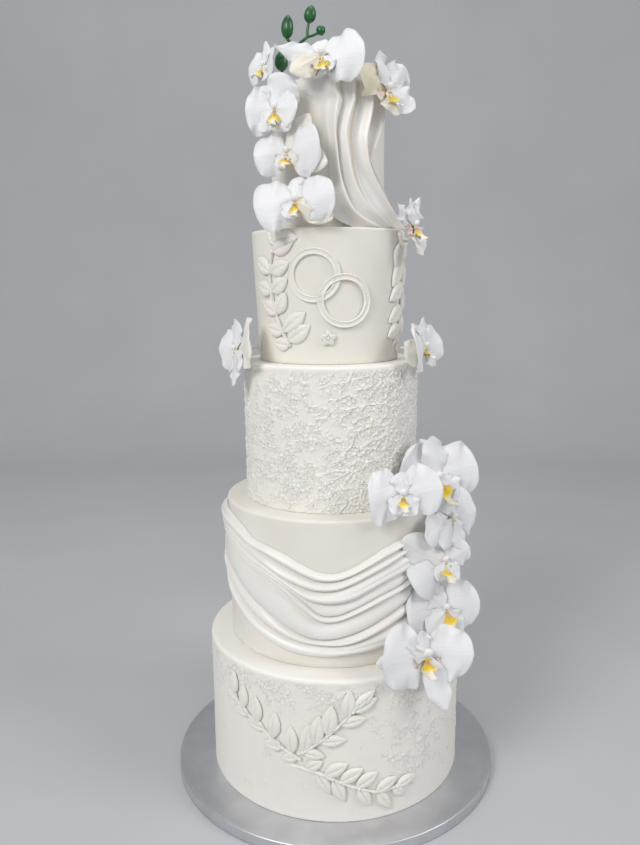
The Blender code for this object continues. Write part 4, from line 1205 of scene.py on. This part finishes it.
# %% Where each orchid is
ORCHIDS = {
    # heart: axis tier, angle, radius, height; facing angle, elevation, roll;
    # petal length; anchor: side (tier, angle, height) or top (tier, angle, radius)
    "top": (("tier_5", -5, 71, 737), (-4, 12, 0), 41, ("top", "tier_5", -7, 20)),
    "top_right": (("tier_5", 47, 75, 713), (40, 6, 0), 36, ("side", "tier_5", 76, 712)),
    "top_left": (("tier_5", -62, 68, 739), (-58, 12, 0), 24, ("top", "tier_5", -86, 46)),
    "left_1": (("tier_5", -36.5, 83, 693), (-12, 6, 0), 31, ("side", "tier_5", -48, 690)),
    "left_2": (("tier_5", -29, 80, 654), (-20, 8, 0), 32, ("side", "tier_5", -39, 655)),
    "left_3": (("tier_5", -21, 88, 609.5), (-10, 8, 0), 39, ("side", "tier_5", -27, 615)),
    "right_1": (("tier_4", 58, 96, 589), (50, 8, 0), 31, ("side", "tier_4", 82, 576)),
    "left_4": (("tier_4", -66, 101, 470), (-62, 8, -8), 33, ("side", "tier_4", -74, 472)),
    "right_2": (("tier_4", 62, 105.5, 472), (56, 10, 0), 31, ("side", "tier_4", 70, 470)),
    "low_1": (("tier_2", 30.4, 125, 337.5), (12, 8, 0), 38, ("side", "tier_3", 33, 338)),
    "low_2": (("tier_2", 61.2, 119, 340.5), (24, 8, -9), 46, ("side", "tier_3", 62, 343)),
    "low_3": (("tier_2", 60, 136, 302), (34, 4, 0), 37, ("side", "tier_2", 66, 298)),
    "low_4": (("tier_2", 55.7, 133, 259.4), (24, 8, 0), 36, ("side", "tier_2", 60, 258)),
    "low_5": (("tier_2", 55.9, 135, 208), (22, 8, 0), 40, ("side", "tier_2", 60, 206)),
    "low_6": (("tier_2", 34.8, 151, 182.8), (16, 8, 0), 48, ("side", "tier_2", 38, 186)),
}
TEPALS = {
    # direction, length, half width, forward tilt, start, cup, in petal lengths
    "dorsal": (0, 0.95, 0.34, -2, -0.07, 0.12),
    "low_left": (-146, 0.78, 0.30, -6, -0.09, 0.12),
    "low_right": (146, 0.78, 0.30, -6, -0.09, 0.12),
    "left": (-84, 1.0, 0.66, 10, 0.02, 0.16),
    "right": (84, 1.0, 0.66, 10, 0.02, 0.16),
}
TURNED = {
    # petals turned or folded in one flower: direction, length, half width, tilt
    "top": {
        "left": (-80, 1.05, 0.24, 6), "right": (90, 0.98, 0.55, 10),
        "dorsal": (8, 0.5, 0.3, -40), "low_left": (-118, 0.78, 0.27, -6),
        "low_right": (150, 0.4, 0.2, -6),
    },
    "top_right": {
        "left": (-68, 1.25, 0.38, 0), "dorsal": (-20, 0.95, 0.26, -2),
        "right": (48, 0.85, 0.42, 10), "low_left": (172, 0.7, 0.3, -2),
        "low_right": (118, 0.9, 0.36, 4),
    },
    "left_1": {
        "left": (-92, 0.9, 0.7, 10), "right": (16, 1.05, 0.58, 6),
        "dorsal": (98, 0.85, 0.52, 16),
    },
    "left_2": {
        "left": (-92, 1.0, 0.62, 10), "right": (80, 1.15, 0.72, 14),
        "dorsal": (30, 1.25, 0.36, -8), "low_left": (-150, 0.5, 0.25, -6),
        "low_right": (106, 1.3, 0.4, -6),
    },
    "left_3": {
        "left": (-99, 1.0, 0.58, 10), "right": (82, 1.0, 0.54, 10),
        "dorsal": (10, 0.6, 0.28, -24), "low_left": (-150, 0.45, 0.25, -6),
        "low_right": (115, 0.98, 0.3, -10),
    },
    "right_1": {
        "left": (-52, 1.05, 0.26, 0), "right": (20, 0.95, 0.36, 6),
        "dorsal": (-15, 0.85, 0.3, -2), "low_left": (172, 0.95, 0.3, -2),
    },
    "left_4": {"right": (76, 1.12, 0.74, 4), "low_left": (178, 1.1, 0.3, -4)},
    "right_2": {"left": (-84, 0.9, 0.75, 10), "low_left": (-100, 1.1, 0.46, -18)},
    "low_1": {
        "left": (-94, 0.95, 0.72, 10), "right": (82, 1.05, 0.62, 10),
        "low_right": (150, 0.6, 0.28, -6), "low_left": (-150, 0.55, 0.28, -6),
        "dorsal": (0, 0.55, 0.3, -14),
    },
    "low_2": {
        "left": (-54, 1.0, 0.62, 2), "right": (88, 1.0, 0.68, 10),
        "low_left": (-142, 0.6, 0.33, -2), "low_right": (142, 0.6, 0.33, -2),
    },
    "low_3": {
        "left": (-114, 1.15, 0.44, 6), "right": (84, 0.85, 0.68, 6),
        "dorsal": (0, 0.5, 0.3, -20), "low_left": (-150, 0.9, 0.36, -2),
        "low_right": (165, 0.95, 0.33, -2),
    },
    "low_4": {
        "left": (-114, 1.3, 0.74, 8), "right": (70, 0.85, 0.44, 10),
        "dorsal": (-60, 1.65, 0.48, 2), "low_right": (150, 0.7, 0.3, -4),
        "low_left": (-150, 0.6, 0.3, -4),
    },
    "low_5": {
        "left": (-94, 1.2, 0.74, 8), "right": (85, 0.98, 0.66, 8),
        "dorsal": (-40, 0.9, 0.36, -4), "low_left": (-128, 0.8, 0.34, 0),
    },
    "low_6": {
        "left": (-92, 1.02, 0.64, 8), "right": (95, 1.0, 0.56, 8),
        "dorsal": (-15, 0.55, 0.16, -2), "low_left": (-94, 1.05, 0.26, -12),
        "low_right": (163, 1.2, 0.28, -2),
    },
}
SHADED_BACK_PETALS = {
    # painted shade on back petals, drawn as a warmer cream tone
    ("top", "low_left"): 0.6, ("top_right", "left"): 0.9, ("left_2", "dorsal"): 0.5,
    ("top_right", "low_left"): 0.6, ("right_1", "low_left"): 0.3,
    ("left_2", "low_right"): 0.3, ("left_3", "low_right"): 0.6, ("low_4", "dorsal"): 0.15,
    ("left_4", "right"): 0.4, ("right_2", "low_left"): 0.5,
}
# How large a lip is, how mauve it is and how frilled the petals are, where that
# isn't 1, 0.45 and 1
LIP_SIZES = {
    "low_3": 0.45, "left_4": 0.5, "top_right": 1.25, "right_1": 1.15, "low_2": 1.4,
    "low_4": 1.4, "low_5": 1.3, "left_1": 1.4, "left_2": 1.3, "top_left": 1.4, "top": 1.15,
}
MAUVE = {"left_3": 1.0, "left_2": 1.0, "top": 0.9, "low_1": 0.9, "low_6": 0.8, "right_1": 0.8}
RUFFLED = {"top_right": 2.2, "right_1": 1.8, "left_1": 1.5, "low_2": 1.3, "right_2": 1.4}
print("orchids:", len(ORCHIDS))


# %% How a flower stands
def flower_pose(heart, facing):
    """A matrix whose x is the flower's right, y its up and z the way it faces."""
    tier, angle, radius, height = heart
    turn = math.radians(angle)
    x, y = axis_of(tier)
    centre = Vector(
        (x + radius * MM * math.sin(turn), y - radius * MM * math.cos(turn), height * MM)
    )
    azimuth, elevation, roll = (math.radians(value) for value in facing)
    level = math.cos(elevation)
    out = Vector((math.sin(azimuth) * level, -math.cos(azimuth) * level, math.sin(elevation)))
    up = Matrix.Rotation(-roll, 3, out) @ (Vector((0, 0, 1)) - out * out.z).normalized()
    right = up.cross(out)
    return np.array(Matrix.Translation(centre) @ Matrix((right, up, out)).transposed().to_4x4())


low_heart = flower_pose(*ORCHIDS["low_6"][:2])[:3, 3]
print("heart of the lowest flower:", low_heart.round(4))

# %% The column and the lip
# Both are in petal lengths, in the flower's own axes
COLUMN_SPINE = ((0, 0.04, -0.04), (0, 0.08, 0.04), (0, 0.07, 0.13), (0, 0.02, 0.20))
BUMP_SPINE = ((0.03, -0.07, 0.06), (0.035, -0.085, 0.10), (0.03, -0.10, 0.13))


def column_bodies(pose, size):
    """The white column, its rounded cap and the two gold bumps in the throat."""
    path = spline(COLUMN_SPINE, 4) * size
    share = np.linspace(0, 1, len(path))
    radii = size * (0.055 + 0.045 * ease(0.3, 0.8, share))
    radii = radii * np.sqrt(1 - 0.97 * ease(0.78, 1, share))
    made = [tube_body(on_cake(pose, path), radii, 14, cream=0.15)]
    for side in (-1, 1):
        path = on_cake(pose, spline(BUMP_SPINE, 3) * (side, 1, 1) * size)
        swell = size * 0.03 * np.sin(np.linspace(0.25, math.pi - 0.2, len(path)))
        made.append(tube_body(path, swell, 8, 1, gold=1.0, mauve=0.15))
    return made


def paint_middle(v, u):
    """Gold in the throat, cream at the tip, mauve at the foot and along the edges."""
    gold = 0.3 + 0.7 * ease(0.15, 0.35, v) - 0.95 * ease(0.5, 0.78, v) - 0.4 * ease(0.5, 1, u)
    return gold, 1 - ease(0.25, 0.5, v) + 0.5 * ease(0.6, 1, u) * (1 - ease(0.5, 0.7, v))


def paint_side(v, u):
    """Gold at the foot of a side lobe, and mauve from there nearly to its edge."""
    gold = 0.95 - 0.95 * ease(0.2, 0.6, v) - 0.3 * ease(0.6, 1, u)
    return gold, ease(0.0, 0.2, v) * (1 - 0.6 * ease(0.75, 1.0, v))


LOBES = (
    # outline; direction, length, half width, tilt, start, cup; bend, ruffle, crease,
    # thickness in millimetres; how it is painted
    (LIP_OUTLINE, (180, 0.54, 0.155, 34, 0.04, 0.30), (-0.12, 0.09, 0.02, 0.8), paint_middle),
    (LOBE_OUTLINE, (-130, 0.31, 0.155, 38, 0.09, 0.40), (0.10, 0.07, 0.01, 0.7), paint_side),
    (LOBE_OUTLINE, (130, 0.31, 0.155, 38, 0.09, 0.40), (0.10, 0.07, 0.01, 0.7), paint_side),
)


def lip_bodies(pose, size, draw, mauve):
    """The pointed middle lobe and the two lobes that stand beside the column."""
    return [
        lobe_body(pose, size, outline, shape, draw, style, paint, mauve)
        for outline, shape, style, paint in LOBES
    ]


gold = [round(float(paint_middle(v, 0.0)[0]), 2) for v in (0.1, 0.4, 0.9)]
print("gold at the foot, throat and tip of a lip:", gold)

# %% Stalk and dab
DAB_HEIGHT, DAB_RADIUS, STALK_RADIUS = 3.5 * MM, 5 * MM, 1.4 * MM
UPWARD = np.array([0, 0, 1.0])


def dab_body(foot, away, **marks):
    """The dab of icing that holds a stalk, standing away from its foot."""
    rise = np.linspace(0, 1, 7)
    path = foot + away * (DAB_HEIGHT * rise)[:, None]
    return tube_body(path, DAB_RADIUS * np.sqrt(1.02 - rise**2), 16, **marks)


def anchor_bodies(pose, size, anchor):
    """The wire stalk from the heart, and the dab of icing that holds it."""
    kind, tier, angle, place = anchor
    place = place * MM
    turn = math.radians(angle)
    x, y = axis_of(tier)
    flat = np.array([math.sin(turn), -math.cos(turn), 0.0])
    if kind == "side":
        foot, away = np.array([x, y, place]) + flat * (wall_of(tier, place) + GAP), flat
    else:
        foot, away = np.array([x, y, top_of(tier) + GAP]) + flat * place, UPWARD
    heart = on_cake(pose, np.array([0, 0, -0.06 * size]))
    middle = (foot + heart) / 2 + away * 0.1 * np.linalg.norm(heart - foot)
    stalk = spline([foot + away * 1.5 * MM, middle, heart], 6)
    stem = tube_body(stalk, np.full(len(stalk), STALK_RADIUS), 10, cream=0.5)
    return [dab_body(foot, away, cream=0.3), stem]


print("a dab of icing:", round(2 * DAB_RADIUS / MM, 1), "mm across")


# %% Make the orchids
PETAL_THICKNESS, USUAL_MAUVE = 0.75, 0.45


def orchid_bodies(name, number):
    heart, facing, size, anchor = ORCHIDS[name]
    size = size * MM
    draw = np.random.default_rng(100 + number)
    pose = flower_pose(heart, facing)
    bodies = []
    for part, shape in TEPALS.items():
        turned = TURNED.get(name, {}).get(part)
        shape = (*turned, *shape[4:]) if turned else shape
        petal, narrow = part in ("left", "right"), shape[2] < 0.4
        bend, ruffle, crease = (-0.06, 0.06, 0.03) if petal else (-0.10, 0.04, 0.04)
        style = (bend, ruffle * RUFFLED.get(name, 1.0), crease, PETAL_THICKNESS)
        outline = (POINTED_OUTLINE if narrow else PETAL_OUTLINE) if petal else SEPAL_OUTLINE
        # Back petals take a painted shade, drawn as a warmer cream tone
        cream = SHADED_BACK_PETALS.get((name, part), 0.0)
        bodies.append(tepal_body(pose, size, outline, shape, draw, style, cream=cream))
    return [
        *bodies,
        *lip_bodies(pose, size * LIP_SIZES.get(name, 1.0), draw, MAUVE.get(name, USUAL_MAUVE)),
        *column_bodies(pose, size),
        *anchor_bodies(pose, size, anchor),
    ]


for number, name in enumerate(ORCHIDS):
    bodies = orchid_bodies(name, number)
    build_piece(f"moth_orchid_{name}", f"orchid_{name}", [petal_paste, lip_paste], bodies)

# %% [markdown]
# ## Buds
# Four buds stand by the top flowers. A bud is rolled between the fingers and
# marked with three faint seams where its sepals meet, and the stem is floristry
# wire under green paste, thicker where it forks.

# %% Buds and stems
BUDS = (
    # tip, foot, widest radius, in millimetres
    ((-42.2, -20.0, 790.0), (-43.5, -20.0, 769.0), 6.0),
    ((-19.0, -20.0, 798.5), (-22.5, -20.0, 783.0), 5.8),
    ((-7.0, -20.0, 779.0), (-14.0, -20.0, 773.5), 4.7),
)
LOW_BUD = ((-49.2, -30.0, 754.5), (-48.5, -30.0, 737.0), 6.6)
left_foot, upper_foot, right_foot = (foot for _, foot, _ in BUDS)
BUD_ROOT, LOW_BUD_ROOT = (-26.0, -12.0), (-40.0, -22.0)
FORK, UPPER_FORK = (-36.0, -20.0, 759.5), (-24.5, -20.0, 770.0)
BUD_STEMS = (
    # thickness, then the stations that the stem runs through
    (1.4, (*BUD_ROOT, 725.5), (-29.5, -15.5, 741), FORK, (-39.5, -20, 764.5), left_foot,
     (-43.4, -20, 771)),
    (1.4, FORK, (-30, -20, 765.5), UPPER_FORK, (-23.4, -20, 777), upper_foot, (-22.2, -20, 785)),
    (1.2, UPPER_FORK, (-19.5, -20, 771.2), right_foot, (-12.6, -20, 774.6)),
)
LOW_STEM = (1.4, (*LOW_BUD_ROOT, 725.5), (-45.5, -26.5, 731), LOW_BUD[1], (-48.6, -30, 740))
BUD_OUTLINE = (
    (0.0, 0.16), (0.03, 0.42), (0.12, 0.72), (0.28, 0.95), (0.45, 1.0), (0.64, 0.92),
    (0.82, 0.68), (0.94, 0.38), (0.99, 0.16), (1.0, 0.03),
)
BUD_SIDES = 30


def bud_body(tip, foot, widest):
    table = spline(BUD_OUTLINE, 4)
    tip, foot = np.array(tip) * MM, np.array(foot) * MM
    path = foot + (tip - foot) * np.clip(table[:, :1], 0, 1)
    points, *rest = tube_body(path, widest * MM * table[:, 1], BUD_SIDES)
    rings = points.reshape(len(path), BUD_SIDES, 3)
    turn = full_turn(BUD_SIDES)[None, :, None]
    seam = 1 - 0.07 * np.abs(np.cos(1.5 * turn)) ** 14
    return (path[:, None] + (rings - path[:, None]) * seam).reshape(-1, 3), *rest


def green_stem(thick, *stations):
    """A green stem through stations in millimetres, a little thicker at both ends."""
    path = spline(np.array(stations) * MM, 8)
    share = np.linspace(-1, 1, len(path))
    return tube_body(path, thick * MM * (1 + 0.25 * share**6), 12)


def root_dab(root):
    """The dab of icing on the top tier that holds a stem."""
    x, y = (value * MM for value in root)
    return dab_body(np.array([x, y, top_of("tier_5") + GAP]), UPWARD)


tall_bodies = [bud_body(*bud) for bud in BUDS]
tall_bodies += [root_dab(BUD_ROOT), *(green_stem(*stem) for stem in BUD_STEMS)]
build_piece("glazed_buds", "buds_tall", [bud_glaze], tall_bodies)
low_bodies = [bud_body(*LOW_BUD), root_dab(LOW_BUD_ROOT), green_stem(*LOW_STEM)]
build_piece("glazed_low_bud", "bud_low", [bud_glaze], low_bodies)

# %% [markdown]
# ## Floor and light
# A pale floor runs up into a pale backdrop with no corner, as a photographer's
# paper sweep does, so nothing distracts from the sugar. White relief shows only if
# the light comes mostly from one side: a large soft panel above and to the left of
# the camera gives that, and three weaker ones keep the shadows open.

# %% Sweep and lights
SWEEP_FRONT, SWEEP_BACK, SWEEP_HALF_WIDTH, SWEEP_HEIGHT, SWEEP_CURVE = -4.0, 2.2, 3.0, 3.2, 0.8
UNDER_BOARD = 0.2 * MM
curve = np.radians(np.linspace(-90, 0, 24))
sweep_y = SWEEP_BACK - SWEEP_CURVE + SWEEP_CURVE * np.cos(curve)
sweep_y = np.concatenate([[SWEEP_FRONT], sweep_y, [SWEEP_BACK]])
sweep_z = SWEEP_CURVE + SWEEP_CURVE * np.sin(curve)
sweep_z = np.concatenate([[0.0], sweep_z, [SWEEP_HEIGHT]]) - UNDER_BOARD
sides = [
    np.stack([np.full_like(sweep_y, x), sweep_y, sweep_z], -1)
    for x in (-SWEEP_HALF_WIDTH, SWEEP_HALF_WIDTH)
]
count = len(sweep_y)
sweep_mesh = bpy.data.meshes.new("paper_sweep")
sweep_mesh.from_pydata(
    np.concatenate(sides).tolist(),
    [],
    [(k, k + count, k + count + 1, k + 1) for k in range(count - 1)],
)
sweep_mesh.shade_smooth()
sweep = bpy.data.objects.new("paper_sweep", sweep_mesh)
bpy.context.scene.collection.objects.link(sweep)
paper, tree, shader, place = start_material("matt_background_paper", Roughness=0.8)
mottle = add_node(tree, "ShaderNodeTexNoise", {"Vector": place, "Scale": 3.0})
colour_by(tree, shader, mottle.outputs["Fac"], ((0.3, "#BEC0C2"), (0.7, "#C3C5C7")))
sweep_mesh.materials.append(paper)

LIGHTS = (
    # name, place, aimed at, width in metres, power in watts, colour
    ("key_panel", (-1.45, -1.95, 1.9), (0, 0, 0.4), 1.1, 41, "#FFFEFC"),
    ("fill_panel", (2.0, -0.95, 1.7), (0, 0, 0.7), 1.1, 20, "#FEFDFD"),
    ("front_panel", (0.2, -2.6, 1.0), (0, 0, 0.5), 1.4, 3, "#FFFFFF"),
    ("top_panel", (0.0, -0.1, 2.6), (0, 0, 0.4), 1.3, 10, "#FFFFFF"),
)
for name, spot, aim, width, power, colour in LIGHTS:
    light = bpy.data.lights.new(name, "AREA")
    light.size, light.energy, light.color = width, power, tint(colour)[:3]
    lamp = bpy.data.objects.new(name, light)
    lamp.location = spot
    lamp.rotation_euler = (Vector(aim) - Vector(spot)).to_track_quat("-Z", "Y").to_euler()
    bpy.context.scene.collection.objects.link(lamp)
world = bpy.data.worlds.new("studio")
world.use_nodes = True
sky = world.node_tree.nodes["Background"]
sky.inputs["Color"].default_value, sky.inputs["Strength"].default_value = tint("#E9EBEE"), 0.40
bpy.context.scene.world = world
bpy.context.scene.view_settings.view_transform = "Standard"
print("lights:", len(LIGHTS))

# %% [markdown]
# ## Camera
# The camera stands about 0.8 m in front of the cake, level with the fourth tier, and
# looks a little down, so every ledge below it shows. Its lens, place and slight roll
# were worked out from the ellipses of the tiers' rims.

# %% Camera
IMAGE_HEIGHT, SENSOR_HEIGHT = 845, 24.0
FOCAL_PIXELS, CENTRE_Y = 769.1, 419.8
CAMERA_PLACE = Vector((-0.0225, -0.8181, 0.5365))
PITCH, YAW, ROLL = (math.radians(value) for value in (10.14, -0.57, -0.47))


def sight(u, v):
    """The direction seen u to the right of the view's centre and v above it."""
    x = math.cos(ROLL) * u - math.sin(ROLL) * v
    up = math.sin(ROLL) * u + math.cos(ROLL) * v
    y = math.cos(PITCH) + math.sin(PITCH) * up
    z = -math.sin(PITCH) + math.cos(PITCH) * up
    right = math.cos(YAW) * x - math.sin(YAW) * y
    forward = math.sin(YAW) * x + math.cos(YAW) * y
    return Vector((right, forward, z))


ahead = sight(0, 0).normalized()
overhead = (sight(0, 1) - sight(0, 0)).normalized()
lens = bpy.data.cameras.new("studio_camera")
lens.sensor_fit, lens.sensor_height = "VERTICAL", SENSOR_HEIGHT
lens.lens = SENSOR_HEIGHT * FOCAL_PIXELS / IMAGE_HEIGHT
lens.shift_y = (CENTRE_Y - IMAGE_HEIGHT / 2) / IMAGE_HEIGHT
lens.dof.use_dof = False
camera = bpy.data.objects.new("studio_camera", lens)
axes = Matrix((ahead.cross(overhead), overhead, -ahead)).transposed().to_4x4()
camera.matrix_world = Matrix.Translation(CAMERA_PLACE) @ axes
bpy.context.scene.collection.objects.link(camera)
bpy.context.scene.camera = camera
print("lens:", round(lens.lens, 2), "mm")
